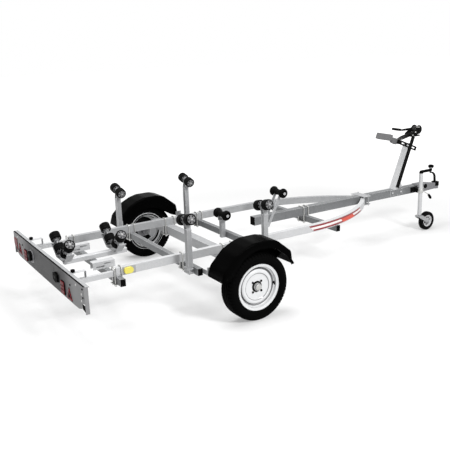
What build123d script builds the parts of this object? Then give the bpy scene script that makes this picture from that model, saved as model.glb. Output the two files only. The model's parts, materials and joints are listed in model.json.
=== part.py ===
from build123d import *
from math import acos, cos, radians, sin, sqrt, tan
import os

# Single-axle trailer for a small boat, parked level on its two road wheels and its jockey wheel.
# Lengths are in mm. +X points to the coupling, +Y to the left, +Z up. The origin is on the ground
# under the middle of the overall length, and every station below is measured ahead of the axle.

# Overall reach
board_reach = 1300.0  # light board's rear face behind the axle
coupling_reach = 3126.0  # coupling's tip ahead of the axle
lamp_depth = 22.0
axle_x = (board_reach + lamp_depth - coupling_reach) / 2

# Side rails and drawbar, all lying on the crossmembers
tube_wall = 3.0
deck_z = 411.0  # top of the crossmembers
rail_w = 40.0
rail_h = 65.0
rail_face_y = 525.0
rail_rear = -930.0
bend_start = 900.0
bend_radius = 1500.0
bend_sweep = 60.0  # more than enough, cut off at the drawbar
drawbar_w = 70.0
drawbar_h = 78.0
drawbar_wall = 4.0
drawbar_rear = 650.0
drawbar_front = 2900.0
plug_depth = 12.0
plug_lip = 3.0

# Crossmembers
cross_w = 40.0
cross_h = 55.0
cross_rear_x = -915.0
cross_rear_half = 610.0
cross_mid_x = -345.0
cross_mid_half = 750.0
cross_front_x = 362.0
cross_front_half = 700.0
cross_nose_x = 1245.0
cross_nose_half = 500.0
keel_beam_w = 50.0
keel_beam_h = 40.0
keel_beam_rear = -1165.0

# Axle, hubs and wheels
axle_tube = 80.0
axle_tube_x = 45.0
axle_half = 796.0
arm_thick = 28.0
arm_boss_r = 34.0
arm_eye_r = 27.0
stub_r = 15.0
stub_shoulder_r = 22.0
hub_clearance = 0.4
wheel_y = 966.5  # middle of the tyre
tyre_r = 264.0
tyre_w = 156.0
tread_w = 112.0
tyre_skin = 11.0
rim_seat_r = 165.0
rim_lip_r = 182.5
rim_half = 61.5
rim_well_r = 149.0
rim_skin = 3.5
disc_offset = 30.0  # middle of the rim's disc outside the tyre's middle
disc_t = 4.0
disc_hole_r = 43.0
stud_circle_r = 54.0
stud_hole_r = 7.5
hub_r = 38.0
hub_flange_r = 68.0
hub_flange_t = 10.0
cap_r = 30.0
cap_reach = 30.0  # beyond the disc's middle
cap_wall = 4.0
hub_inset = 2.0
spigot_gap = 0.2

# Fenders
fender_in = 825.0
fender_w = 220.0
fender_wall = 4.0
fender_floor_gap = 1.2  # keeps the end walls their full thickness at the open bottom
fender_floor_cut = 6.0
arch_x = 35.0
arch_z = 277.0
arch_r = 287.0
inner_arch_r = 250.0
inner_mouth = (  # lower edge of the inner wall ahead of the tyre
    (178, 450),
    (239, 409),
    (330, 380),
)
fender_outline = (  # station, height
    (-330, 372),
    (-306, 455),
    (-200, 560),
    (-115, 602),
    (-40, 622),
    (100, 622),
    (172, 602),
    (282, 515),
    (314, 400),
)

stay_t = 6.0  # flat bars and end plates that hold the fenders
stay_h = 36.0
stay_low = 372.0
stay_inner_rear = 650.0  # bars' inner ends, from the middle of the trailer
stay_inner_front = 692.0
stay_plate_h = 62.0
stay_plate_rear = 40.0
stay_plate_front = 57.0
stay_gap = 0.2

# Boat rollers
roller_r = 43.5
roller_w = 61.0
roller_recess = 8.0
roller_edge = 4.0
roller_hub_r = 18.0
roller_ring_r = 33.0
pin_r = 8.0
roller_clearance = 0.4
collar_r = 13.0
end_gap = 0.4
pin_head = 5.0
ear_w = 40.0
ear_t = 5.0
ear_reach = 20.0  # from the middle of a pair to the outer face of each ear
pair_spacing = 114.0
side_tilt = 13.0
side_drop = 80.0  # from the pin down to the post's top, along the ears
post_w = 40.0
post_y = 658.0
post_top = 700.0
cap_t = 6.0
vee_tilt = 40.0
vee_y = 118.0
vee_z = 560.0
vee_strip_t = 6.0
vee_strip_w = 60.0
vee_strip_drop = 60.0
keel_roller_half = 92.0
keel_roller_r = 45.0
keel_bulb_y = 65.0
keel_waist_r = 26.0
keel_post_roller_z = 570.0
front_roller_x = 948.0
front_roller_z = 677.0
front_foot_x = 800.0
front_foot_z = 385.0
yoke_t = 6.0
yoke_w = 40.0
bolt_head = 7.0

# Slotted brackets on the rear crossmember
slotted_y = 265.0
slotted_l = 180.0
slotted_w = 60.0
slotted_h = 58.0
slotted_wall = 4.0
slot_l = 70.0
slot_h = 12.0

# Light board
board_half = 860.0
board_top = 512.0
board_h = 196.0
board_depth = 40.0
board_end_depth = 29.0
board_wall = 3.0
board_cut_y = 669.0  # where the panel's lower corners start to rise
board_cut_out = 838.0
board_cut_h = 73.0
plate_field_w = 520.0  # raised blank field for a number plate
plate_field_h = 110.0
plate_field_y = 45.0
plate_field_z = 440.0
plate_field_t = 1.0
lamp_arm_w = 30.0
lamp_arm_h = 40.0
lamp_arm_in = 420.0  # how far each arm reaches into its rail
stirrup_l = 106.0
stirrup_z = 508.0
marker_x = -832.0
marker_w = 74.0
marker_h = 48.0
marker_t = 14.0
marker_plate_half = 62.0
marker_plate_t = 3.0

# Winch post and winch
post_lean = 22.0
winch_post_w = 80.0
winch_post_d = 35.0
winch_post_x = 2446.0  # where its centre line meets the drawbar's top
winch_post_l = 500.0
upright_w = 20.0
upright_l = 575.0
saddle_l = 176.0
saddle_h = 64.0
saddle_t = 6.0
drum_ahead = 94.6  # from the upright's head to the drum
drum_above = 62.9
drum_r = 22.0
drum_flange_r = 46.0
drum_half = 34.0
drum_flange_t = 4.0
winch_plate_t = 4.0
crank_l = 150.0
stop_drop = 34.0  # from the post's head down to the bow stop's arm
stop_arm_l = 258.0
stop_arm_h = 44.0

# Coupling
socket_x = 3090.0
socket_r = 25.5
socket_depth = 42.0
head_r = coupling_reach - socket_x
head_z = 404.0
sleeve_rear = 2765.0
sleeve_wall = 5.0

# Jockey wheel
jockey_x = 2728.0
jockey_y = -120.0
jockey_tube_r = 21.0
jockey_tube_wall = 2.5
jockey_tube_top = 641.0
jockey_tube_foot = 184.0
leg_r = 17.5
leg_foot = 176.0
clamp_gap = 0.4
clamp_h = 60.0
jockey_wheel_r = 100.0
jockey_wheel_w = 50.0
jockey_trail = 111.0
jockey_pin_r = 8.0
jockey_crank = 144.0
fork_t = 5.0

os.makedirs("parts", exist_ok=True)

rail_y = rail_face_y - rail_w / 2
drawbar_side = drawbar_w / 2
rail_top = deck_z + rail_h
drawbar_top = deck_z + drawbar_h
cross_z = deck_z - cross_h / 2
keel_beam_top = deck_z + keel_beam_h
fender_out = fender_in + fender_w


def beam(centre, length, width, height, wall, along):
    """Hollow rectangular tube in the part being built, along +X, +Y or +Z."""
    planes = {
        "x": Plane(origin=centre, x_dir=(0, 1, 0), z_dir=(1, 0, 0)),
        "y": Plane(origin=centre, x_dir=(1, 0, 0), z_dir=(0, -1, 0)),
        "z": Plane(origin=centre, x_dir=(1, 0, 0), z_dir=(0, 0, 1)),
    }
    with BuildSketch(planes[along]) as profile:
        Rectangle(width, height)
        Rectangle(width - 2 * wall, height - 2 * wall, mode=Mode.SUBTRACT)
    extrude(profile.sketch, amount=length / 2, both=True)


def rod(start, end, radius):
    """Round bar between two points in the part being built."""
    start = Vector(start)
    path = Vector(end) - start
    with BuildSketch(Plane(origin=start, z_dir=path)) as profile:
        Circle(radius)
    extrude(profile.sketch, amount=path.length)


def plate(low, high):
    """Flat plate in the part being built, from one corner to the opposite one."""
    size = [b - a for a, b in zip(low, high)]
    middle = [(a + b) / 2 for a, b in zip(low, high)]
    with Locations(tuple(middle)):
        Box(*size)


def save(piece, name):
    """Label a finished piece and write it to its own file."""
    piece.part.label = name
    export_step(piece.part, f"parts/{name}.step")


# Side rails: straight tubes that sweep inward in one arc to the drawbar's sides
centre_radius = bend_radius - rail_w / 2
for name, side in (("rail_left", 1), ("rail_right", -1)):
    with BuildPart() as rail:
        with BuildLine(Plane.XY.offset(deck_z + rail_h / 2)) as rail_path:
            straight = Line((axle_x + rail_rear, side * rail_y), (axle_x + bend_start, side * rail_y))
            JernArc(straight @ 1, straight % 1, centre_radius, -side * bend_sweep)
        rail_mouth = (axle_x + rail_rear, side * rail_y, deck_z + rail_h / 2)
        with BuildSketch(Plane(origin=rail_mouth, x_dir=(0, 1, 0), z_dir=(1, 0, 0))):
            Rectangle(rail_w, rail_h)
            Rectangle(rail_w - 2 * tube_wall, rail_h - 2 * tube_wall, mode=Mode.SUBTRACT)
        sweep(path=rail_path.line)
        cut_middle = side * (drawbar_side - bend_radius / 2)
        with Locations((axle_x + bend_start + bend_radius, cut_middle, deck_z + rail_h / 2)):
            Box(bend_radius, bend_radius, 2 * rail_h, mode=Mode.SUBTRACT)
    save(rail, name)

# Drawbar: one straight square-edged tube on the centre line
with BuildPart() as drawbar:
    drawbar_middle = axle_x + (drawbar_rear + drawbar_front) / 2
    beam(
        (drawbar_middle, 0, deck_z + drawbar_h / 2),
        drawbar_front - drawbar_rear, drawbar_w, drawbar_h, drawbar_wall, "x",
    )
save(drawbar, "drawbar")

# Crossmembers under the rails, with the keel beam on the two rear ones
crossmembers = (  # name, station, half length
    ("rear", cross_rear_x, cross_rear_half),
    ("mid", cross_mid_x, cross_mid_half),
    ("front", cross_front_x, cross_front_half),
    ("nose", cross_nose_x, cross_nose_half),
)
with BuildPart() as cross_set:
    for name, station, half in crossmembers:
        beam((axle_x + station, 0, cross_z), 2 * half, cross_w, cross_h, tube_wall, "y")
save(cross_set, "crossmembers")

with BuildPart() as keel_beam:
    keel_front = cross_mid_x + cross_w / 2
    beam(
        (axle_x + (keel_beam_rear + keel_front) / 2, 0, deck_z + keel_beam_h / 2),
        keel_front - keel_beam_rear, keel_beam_w, keel_beam_h, tube_wall, "x",
    )
save(keel_beam, "keel_beam")

# Black plugs in every open tube end
with BuildPart() as tube_plugs:
    for name, station, half in crossmembers:
        for side in (1, -1):
            with Locations((axle_x + station, side * (half - plug_depth / 2), cross_z)):
                Box(cross_w - 2 * tube_wall, plug_depth, cross_h - 2 * tube_wall)
            with Locations((axle_x + station, side * (half + plug_lip / 2), cross_z)):
                Box(cross_w, plug_lip, cross_h)
    with Locations((axle_x + drawbar_rear + plug_depth / 2, 0, deck_z + drawbar_h / 2)):
        Box(plug_depth, drawbar_w - 2 * drawbar_wall, drawbar_h - 2 * drawbar_wall)
    with Locations((axle_x + drawbar_rear - plug_lip / 2, 0, deck_z + drawbar_h / 2)):
        Box(plug_lip, drawbar_w, drawbar_h)
save(tube_plugs, "tube_plugs")

# Axle tube with a trailing arm and a stub axle at each end
axle_z = deck_z - axle_tube / 2
with BuildPart() as axle:
    beam((axle_x + axle_tube_x, 0, axle_z), 2 * axle_half, axle_tube, axle_tube, tube_wall, "y")
    for side in (1, -1):
        arm_plane = Plane(origin=(axle_x, side * axle_half, 0), x_dir=(1, 0, 0), z_dir=(0, side, 0))
        flip = -side  # the sketch's Y runs down on the left and up on the right
        with BuildSketch(arm_plane):
            with Locations((axle_tube_x, flip * axle_z)):
                Circle(arm_boss_r)
            with Locations((0, flip * tyre_r)):
                Circle(arm_eye_r)
            make_hull()
        extrude(amount=arm_thick)
        rod(
            (axle_x, side * (axle_half + arm_thick), tyre_r),
            (axle_x, side * (wheel_y - rim_half), tyre_r), stub_shoulder_r,
        )
        rod(
            (axle_x, side * (wheel_y - rim_half), tyre_r),
            (axle_x, side * (wheel_y + disc_offset), tyre_r), stub_r,
        )
save(axle, "axle")

# Road wheels: hub, pressed steel rim and tyre, one after the other on each stub axle
disc_back = disc_offset - disc_t / 2
disc_face = disc_offset + disc_t / 2
well_inner_r = rim_well_r - rim_skin
seat_inner_r = rim_seat_r - rim_skin
lip_t = 4.5
seat_end = rim_half - 25  # where the bead seat slopes down to the well
well_end = rim_half - 37
ring_in = 102.0  # inner foot of the disc's raised ring
ring_out = 128.0
ring_rise = 8.0
bead_w = 14.0
bead_gap = 0.4
seat_gap = 0.2
bore_r = stub_r + hub_clearance
for end, side in (("left", 1), ("right", -1)):
    wheel_plane = Plane(
        origin=(axle_x, side * wheel_y, tyre_r), x_dir=(0, side, 0), z_dir=(-side, 0, 0)
    )  # sketches run outward along their X and up along their Y
    wheel_axis = Axis((axle_x, side * wheel_y, tyre_r), (0, side, 0))
    with BuildPart() as hub:
        with BuildSketch(wheel_plane):
            with BuildLine():
                Polyline(
                    (-rim_half + hub_inset, bore_r),
                    (-rim_half + hub_inset, hub_r),
                    (disc_back - hub_flange_t, hub_r),
                    (disc_back - hub_flange_t, hub_flange_r),
                    (disc_back, hub_flange_r),
                    (disc_back, disc_hole_r - spigot_gap),
                    (disc_face, disc_hole_r - spigot_gap),
                    (disc_face, cap_r),
                    (disc_offset + cap_reach - cap_wall, 0.9 * cap_r),
                    (disc_offset + cap_reach, 0.6 * cap_r),
                    (disc_offset + cap_reach, 0),
                    (disc_offset + cap_wall, 0),
                    (disc_offset + cap_wall, bore_r),
                    close=True,
                )
            make_face()
        revolve(axis=wheel_axis)
    save(hub, f"hub_{end}")

    with BuildPart() as rim:
        with BuildSketch(wheel_plane):
            with BuildLine():
                Polyline(
                    (rim_half, rim_lip_r),
                    (rim_half - lip_t, rim_lip_r),
                    (rim_half - lip_t, rim_seat_r),
                    (seat_end, rim_seat_r),
                    (well_end, rim_well_r),
                    (-well_end, rim_well_r),
                    (-seat_end, rim_seat_r),
                    (-rim_half + lip_t, rim_seat_r),
                    (-rim_half + lip_t, rim_lip_r),
                    (-rim_half, rim_lip_r),
                    (-rim_half, seat_inner_r),
                    (-seat_end - 2, seat_inner_r),
                    (-well_end - 2, well_inner_r),
                    (well_end + 2, well_inner_r),
                    (seat_end + 2, seat_inner_r),
                    (rim_half, seat_inner_r),
                    close=True,
                )
            make_face()
            with BuildLine():
                Polyline(
                    (disc_back, disc_hole_r),
                    (disc_face, disc_hole_r),
                    (disc_face, ring_in - disc_t),
                    (disc_face + ring_rise, ring_in + 6),
                    (disc_face + ring_rise, ring_out),
                    (disc_back - 2, well_inner_r + 1),
                    (disc_back - 18, well_inner_r + 1),
                    (disc_back - 18, well_inner_r - disc_t + 1),
                    (disc_back - disc_t, well_inner_r - disc_t),
                    (disc_face + ring_rise - disc_t - 1, ring_out - 2),
                    (disc_face + ring_rise - disc_t - 1, ring_in + 8),
                    (disc_back, ring_in),
                    close=True,
                )
            make_face()
        revolve(axis=wheel_axis)
        with BuildSketch(Plane(origin=wheel_axis.position, x_dir=(1, 0, 0), z_dir=(0, side, 0))):
            with PolarLocations(stud_circle_r, 4, start_angle=45):
                Circle(stud_hole_r)
        extrude(amount=rim_half, mode=Mode.SUBTRACT)
    save(rim, f"rim_{end}")

    with BuildPart() as tyre:
        with BuildSketch(wheel_plane):
            with BuildLine():
                tread = Line((-tread_w / 2, tyre_r), (tread_w / 2, tyre_r))
                bulge_r = (rim_seat_r + tyre_r) / 2 + 6
                bead = rim_half - lip_t - bead_gap
                bead_seat = rim_seat_r + seat_gap
                for way in (1, -1):
                    ThreePointArc(
                        (way * tread_w / 2, tyre_r),
                        (way * (tyre_w / 2 - 9), tyre_r - 16),
                        (way * tyre_w / 2, bulge_r),
                    )
                    ThreePointArc(
                        (way * tyre_w / 2, bulge_r),
                        (way * (tyre_w / 2 - 6), rim_lip_r + 12),
                        (way * bead, rim_lip_r + 1),
                    )
                    Line((way * bead, rim_lip_r + 1), (way * bead, bead_seat))
                    Line((way * bead, bead_seat), (way * (bead - bead_w), bead_seat))
                    Line((way * (bead - bead_w), bead_seat), (way * (bead - 8), rim_lip_r + 8))
                    ThreePointArc(
                        (way * (bead - 8), rim_lip_r + 8),
                        (way * (tyre_w / 2 - tyre_skin), bulge_r),
                        (way * (tread_w / 2 - 6), tyre_r - tyre_skin),
                    )
                Line((-tread_w / 2 + 6, tyre_r - tyre_skin), (tread_w / 2 - 6, tyre_r - tyre_skin))
            make_face()
        revolve(axis=wheel_axis)
    save(tyre, f"tyre_{end}")

# Fenders: black mouldings with a faceted crown, a deep outer skirt and a shallow inner one
floor = min(height for station, height in fender_outline)
floor_rear = fender_outline[0][0] + fender_wall + fender_floor_gap
floor_front = fender_outline[-1][0] - fender_wall - fender_floor_gap
for end, side in (("left", 1), ("right", -1)):
    with BuildPart() as fender:
        skirt_plane = Plane(origin=(axle_x, 0, 0), x_dir=(1, 0, 0), z_dir=(0, -1, 0))
        with BuildSketch(skirt_plane.offset(-side * fender_in)) as outline:
            with BuildLine():
                Polyline(*fender_outline, close=True)
            make_face()
        extrude(amount=-side * (fender_out - fender_in))
        with BuildSketch(skirt_plane.offset(-side * (fender_in + fender_wall))):
            with BuildLine():
                Polyline(*fender_outline, close=True)
            make_face()
            offset(amount=-fender_wall, kind=Kind.INTERSECTION)
            with BuildLine():
                Polyline(
                    (floor_rear, floor - fender_floor_cut),
                    (floor_rear, floor + fender_floor_cut),
                    (floor_front, fender_outline[-1][1] + fender_floor_cut),
                    (floor_front, floor - fender_floor_cut),
                    close=True,
                )
            make_face()
        extrude(amount=-side * (fender_out - fender_in - 2 * fender_wall), mode=Mode.SUBTRACT)
        with BuildSketch(skirt_plane.offset(-side * (fender_out - fender_wall))):
            with Locations((arch_x, arch_z)):
                Circle(arch_r)
        extrude(amount=-side * fender_wall, mode=Mode.SUBTRACT)
        with BuildSketch(skirt_plane.offset(-side * fender_in)):
            with Locations((0, tyre_r)):
                Circle(inner_arch_r)
            with BuildLine():
                Polyline((0, tyre_r), *inner_mouth, (inner_mouth[-1][0], tyre_r), close=True)
            make_face()
        extrude(amount=-side * fender_wall, mode=Mode.SUBTRACT)
    save(fender, f"fender_{end}")

# Fender brackets: a flat bar and an end plate at the front and rear of each fender
rear_face = cross_mid_x + cross_w / 2
front_face = cross_front_x - cross_w / 2
stays = (  # bar's station, bar's inner end, plate from, plate to
    (rear_face, stay_inner_rear, rear_face, rear_face + stay_plate_rear),
    (front_face - stay_t, stay_inner_front, front_face - stay_plate_front, front_face),
)
stay_end = fender_in - stay_gap
with BuildPart() as fender_brackets:
    for station, inner, plate_rear, plate_front in stays:
        for side in (1, -1):
            ends = sorted((side * inner, side * stay_end))
            plate(
                (axle_x + station, ends[0], stay_low),
                (axle_x + station + stay_t, ends[1], stay_low + stay_h),
            )
            faces = sorted((side * (stay_end - stay_t), side * stay_end))
            plate(
                (axle_x + plate_rear, faces[0], stay_low),
                (axle_x + plate_front, faces[1], stay_low + stay_plate_h),
            )
save(fender_brackets, "fender_brackets")

# Side posts stand behind the middle and front crossmembers
post_rows = (  # name, crossmember's station, side
    ("rear_left", cross_mid_x, 1),
    ("rear_right", cross_mid_x, -1),
    ("front_left", cross_front_x, 1),
    ("front_right", cross_front_x, -1),
)
post_set = cross_w / 2 + post_w / 2
post_foot = deck_z - cross_h


def tilted(centre, tilt):
    """Plane whose Y runs along a roller pin that rises by the tilt towards +Y."""
    return Plane(origin=centre, x_dir=(1, 0, 0), z_dir=(0, -sin(radians(tilt)), cos(radians(tilt))))


def pinned_ears(plane, drop):
    """Two ears with round heads, the pin through them, its collars and its end heads."""
    along = plane.y_dir
    reach = pair_spacing / 2 + roller_w / 2 + end_gap
    collar = pair_spacing / 2 - roller_w / 2 - end_gap
    rod(plane.origin - along * (reach + pin_head), plane.origin + along * (reach + pin_head), pin_r)
    for way in (1, -1):
        ear_at = plane.origin + along * (way * (ear_reach - ear_t))
        with BuildSketch(Plane(origin=ear_at, x_dir=(1, 0, 0), z_dir=along)) as ear:
            with Locations((0, drop / 2)):
                Rectangle(ear_w, drop)
            Circle(ear_w / 2)
        extrude(ear.sketch, amount=way * ear_t)
        rod(plane.origin + along * (way * ear_reach), plane.origin + along * (way * collar), collar_r)
        head = plane.origin + along * (way * reach)
        rod(head, head + along * (way * pin_head), collar_r)


def roller_pair(plane):
    """Two rollers with recessed ends and a plain bore, one on each side of the ears."""
    for way in (1, -1):
        middle = plane.origin + plane.y_dir * (way * pair_spacing / 2)
        with BuildSketch(Plane(origin=middle, x_dir=(1, 0, 0), z_dir=plane.z_dir)) as section:
            with BuildLine():
                Polyline(
                    (pin_r + roller_clearance, -roller_w / 2),
                    (roller_hub_r, -roller_w / 2),
                    (roller_hub_r, -roller_w / 2 + roller_recess),
                    (roller_ring_r, -roller_w / 2 + roller_recess),
                    (roller_ring_r, -roller_w / 2),
                    (roller_r - roller_edge, -roller_w / 2),
                    (roller_r, -roller_w / 2 + roller_edge),
                    (roller_r, roller_w / 2 - roller_edge),
                    (roller_r - roller_edge, roller_w / 2),
                    (roller_ring_r, roller_w / 2),
                    (roller_ring_r, roller_w / 2 - roller_recess),
                    (roller_hub_r, roller_w / 2 - roller_recess),
                    (roller_hub_r, roller_w / 2),
                    (pin_r + roller_clearance, roller_w / 2),
                    close=True,
                )
            make_face()
        revolve(section.sketch, axis=Axis(middle, plane.y_dir))


# Side posts, each with two tilted ears on its cap for a pair of rollers
side_y = post_y - sin(radians(side_tilt)) * side_drop
side_z = post_top + cos(radians(side_tilt)) * side_drop
with BuildPart() as side_posts:
    for name, station, side in post_rows:
        post_x = axle_x + station - post_set
        pinned_ears(tilted((post_x, side * side_y, side_z), side * side_tilt), side_drop + post_w)
        with Locations((post_x, side * post_y, post_top - 2 * post_w)):
            Box(3 * post_w, 4 * post_w, 4 * post_w, mode=Mode.SUBTRACT)
        with Locations((post_x, side * post_y, post_top + cap_t / 2)):
            Box(post_w, post_w + 2 * cap_t, cap_t)
        post_middle = (post_x, side * post_y, (post_top + post_foot) / 2)
        beam(post_middle, post_top - post_foot, post_w, post_w, tube_wall, "z")
save(side_posts, "side_posts")

for name, station, side in post_rows:
    with BuildPart() as side_rollers:
        pair_at = (axle_x + station - post_set, side * side_y, side_z)
        roller_pair(tilted(pair_at, side * side_tilt))
    save(side_rollers, f"side_rollers_{name}")

# Keel cradles: a bent strip on the keel beam carries one tilted pair on each side
cradle_rows = (  # name, station
    ("rear", -1146.0),
    ("mid", -721.0),
)
slope = radians(vee_tilt)
strip_y = vee_y + sin(slope) * vee_strip_drop
strip_z = vee_z - cos(slope) * vee_strip_drop
knee_y = strip_y - (strip_z - keel_beam_top - vee_strip_t) / tan(slope)
strip_reach = pair_spacing / 3
with BuildPart() as cradles:
    for name, station in cradle_rows:
        with BuildSketch(Plane(origin=(axle_x + station, 0, 0), x_dir=(0, 1, 0), z_dir=(1, 0, 0))):
            tip_y = strip_y + strip_reach * cos(slope)
            tip_z = strip_z + strip_reach * sin(slope)
            with BuildLine():
                Polyline(
                    (0, keel_beam_top),
                    (knee_y + vee_strip_t * tan(slope / 2), keel_beam_top),
                    (tip_y + vee_strip_t * sin(slope), tip_z - vee_strip_t * cos(slope)),
                    (tip_y, tip_z),
                    (knee_y, keel_beam_top + vee_strip_t),
                    (0, keel_beam_top + vee_strip_t),
                    close=True,
                )
            make_face()
            mirror(about=Plane.YZ)
        extrude(amount=vee_strip_w / 2, both=True)
        for side in (1, -1):
            ear_plane = tilted((axle_x + station, side * vee_y, vee_z), side * vee_tilt)
            pinned_ears(ear_plane, vee_strip_drop + 1)
save(cradles, "keel_cradles")

for name, station in cradle_rows:
    for end, side in (("left", 1), ("right", -1)):
        with BuildPart() as keel_rollers:
            ear_plane = tilted((axle_x + station, side * vee_y, vee_z), side * vee_tilt)
            roller_pair(ear_plane)
        save(keel_rollers, f"keel_rollers_{name}_{end}")

# Keel posts: a post behind the front crossmember and two sloping bars on the drawbar's sides, each
# with a pin through two arms that sit in slots of the roller
yoke_in = drawbar_side
yoke_out = yoke_in + yoke_t
yoke_base = keel_roller_r + 8
pin_reach = keel_roller_half + end_gap
keel_post_x = axle_x + cross_front_x - post_set
keel_post_top = keel_post_roller_z - yoke_base
keel_roller_rows = (  # name, place, height
    ("keel_roller_mid", keel_post_x, keel_post_roller_z),
    ("keel_roller_front", axle_x + front_roller_x, front_roller_z),
)
with BuildPart() as keel_mounts:
    beam(
        (keel_post_x, 0, (keel_post_top + post_foot) / 2),
        keel_post_top - post_foot, post_w, post_w, tube_wall, "z",
    )
    plate(
        (keel_post_x - yoke_w / 2, -yoke_out, keel_post_top - yoke_t),
        (keel_post_x + yoke_w / 2, yoke_out, keel_post_top),
    )
    for way in (1, -1):
        edges = sorted((way * yoke_in, way * yoke_out))
        plate(
            (keel_post_x - yoke_w / 2, edges[0], keel_post_top - yoke_t),
            (keel_post_x + yoke_w / 2, edges[1], keel_post_roller_z + collar_r),
        )
        with BuildSketch(
            Plane(origin=(axle_x, way * yoke_in, 0), x_dir=(1, 0, 0), z_dir=(0, -1, 0))
        ) as sloping_bar:
            with Locations((front_foot_x, front_foot_z), (front_roller_x, front_roller_z)):
                Circle(collar_r)
            make_hull()
        extrude(sloping_bar.sketch, amount=-way * yoke_t)
        for bolt_z in (deck_z + drawbar_h / 4, deck_z + 3 * drawbar_h / 4):
            share = (bolt_z - front_foot_z) / (front_roller_z - front_foot_z)
            bolt_x = axle_x + front_foot_x + share * (front_roller_x - front_foot_x)
            rod((bolt_x, way * yoke_out, bolt_z), (bolt_x, way * (yoke_out + bolt_head), bolt_z), bolt_head)
    for name, place, height in keel_roller_rows:
        rod((place, -pin_reach - pin_head, height), (place, pin_reach + pin_head, height), pin_r)
        for way in (1, -1):
            rod(
                (place, way * pin_reach, height), (place, way * (pin_reach + pin_head), height),
                collar_r,
            )
save(keel_mounts, "keel_roller_mounts")

for name, place, height in keel_roller_rows:
    with BuildPart() as keel_roller:
        centre = (place, 0, height)
        with BuildSketch(Plane(origin=centre, x_dir=(0, 1, 0), z_dir=(1, 0, 0))):
            with BuildLine():
                ThreePointArc(
                    (-keel_bulb_y, keel_roller_r), (0, keel_waist_r), (keel_bulb_y, keel_roller_r)
                )
                for way in (1, -1):
                    ThreePointArc(
                        (way * keel_bulb_y, keel_roller_r),
                        (way * (keel_roller_half - 8), keel_roller_r - 6),
                        (way * keel_roller_half, keel_roller_r - 17),
                    )
                    Line(
                        (way * keel_roller_half, keel_roller_r - 17),
                        (way * keel_roller_half, pin_r + roller_clearance),
                    )
                Line(
                    (-keel_roller_half, pin_r + roller_clearance),
                    (keel_roller_half, pin_r + roller_clearance),
                )
            make_face()
        revolve(axis=Axis(centre, (0, 1, 0)))
        for way in (1, -1):
            with Locations((place, way * (yoke_in + yoke_out) / 2, height)):
                Box(3 * keel_roller_r, yoke_t + 2 * end_gap, 3 * keel_roller_r, mode=Mode.SUBTRACT)
    save(keel_roller, name)

# Slotted brackets on the rear crossmember, for a second pair of cradles
with BuildPart() as slotted_brackets:
    for side in (1, -1):
        foot = (axle_x + cross_rear_x - 15, side * slotted_y, deck_z)
        with BuildSketch(Plane(origin=foot, x_dir=(0, 1, 0), z_dir=(1, 0, 0))):
            with Locations((0, slotted_h / 2)):
                Rectangle(slotted_w, slotted_h)
            with Locations((0, slotted_h / 2 - slotted_wall)):
                Rectangle(slotted_w - 2 * slotted_wall, slotted_h, mode=Mode.SUBTRACT)
        extrude(amount=slotted_l / 2, both=True)
        for slot_z, slot_x in ((slotted_h / 3, -slotted_l / 6), (2 * slotted_h / 3, slotted_l / 5)):
            with BuildSketch(Plane(origin=foot, x_dir=(1, 0, 0), z_dir=(0, -1, 0))):
                with Locations((slot_x, slot_z)):
                    SlotOverall(slot_l, slot_h)
            extrude(amount=slotted_w, both=True, mode=Mode.SUBTRACT)
save(slotted_brackets, "slotted_brackets")

# Light board: a folded pan open to the front, with cut lower corners and a raised blank plate field
board_x = axle_x - board_reach
board_low = board_top - board_h
board_mid = (board_x, 0, board_top - board_h / 2)
across = Plane(origin=(board_x, 0, 0), x_dir=(0, 1, 0), z_dir=(1, 0, 0))
with BuildPart() as light_board:
    with BuildSketch(Plane(origin=board_mid, x_dir=(0, 1, 0), z_dir=(1, 0, 0))) as pan:
        Rectangle(2 * board_half, board_h)
    extrude(pan.sketch, amount=board_end_depth)
    with Locations((board_x + board_wall + board_depth / 2, 0, board_mid[2])):
        Box(board_depth, 2 * (board_half - board_wall), board_h - 2 * board_wall, mode=Mode.SUBTRACT)
    plate((board_x, -board_half, board_top - board_wall), (board_x + board_depth, board_half, board_top))
    for side in (1, -1):
        with BuildSketch(across) as corner:
            with BuildLine():
                Polyline(
                    (side * board_cut_y, board_low - board_wall),
                    (side * board_cut_y, board_low),
                    (side * board_cut_out, board_low + board_cut_h),
                    (side * (board_half - board_wall), board_low + board_cut_h),
                    (side * (board_half - board_wall), board_low - board_wall),
                    close=True,
                )
            make_face()
        extrude(corner.sketch, amount=board_end_depth, mode=Mode.SUBTRACT)
    with BuildSketch(across) as plate_field:
        with Locations((plate_field_y, plate_field_z)):
            Rectangle(plate_field_w, plate_field_h)
    extrude(plate_field.sketch, amount=-plate_field_t)
save(light_board, "light_board")

arm_bottom = deck_z + tube_wall
arm_top = arm_bottom + lamp_arm_h
stirrup_x = board_x + board_depth
stirrup_w = 40.0
strap_t = 4.0
with BuildPart() as light_arms:
    for side in (1, -1):
        arm_rear = board_x + board_wall
        arm_front = axle_x + rail_rear + lamp_arm_in
        beam(
            ((arm_rear + arm_front) / 2, side * rail_y, (arm_bottom + arm_top) / 2),
            arm_front - arm_rear, lamp_arm_w, lamp_arm_h, 2.5, "x",
        )
        low_y = side * rail_y - stirrup_w / 2
        high_y = side * rail_y + stirrup_w / 2
        plate(
            (stirrup_x, low_y, stirrup_z - strap_t),
            (stirrup_x + stirrup_l, high_y, stirrup_z),
        )
        plate(
            (stirrup_x + stirrup_l - strap_t, low_y, arm_top),
            (stirrup_x + stirrup_l, high_y, stirrup_z),
        )
        plate(
            (stirrup_x, low_y, arm_top),
            (stirrup_x + strap_t, high_y, stirrup_z),
        )
save(light_arms, "light_board_arms")

with BuildPart() as arm_knobs:
    for side in (1, -1):
        knob_x = stirrup_x + 24
        rod((knob_x, side * rail_y, stirrup_z), (knob_x, side * rail_y, stirrup_z + 12), 5)
        rod((knob_x, side * rail_y, stirrup_z + 12), (knob_x, side * rail_y, stirrup_z + 26), 14)
save(arm_knobs, "light_board_knobs")

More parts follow.
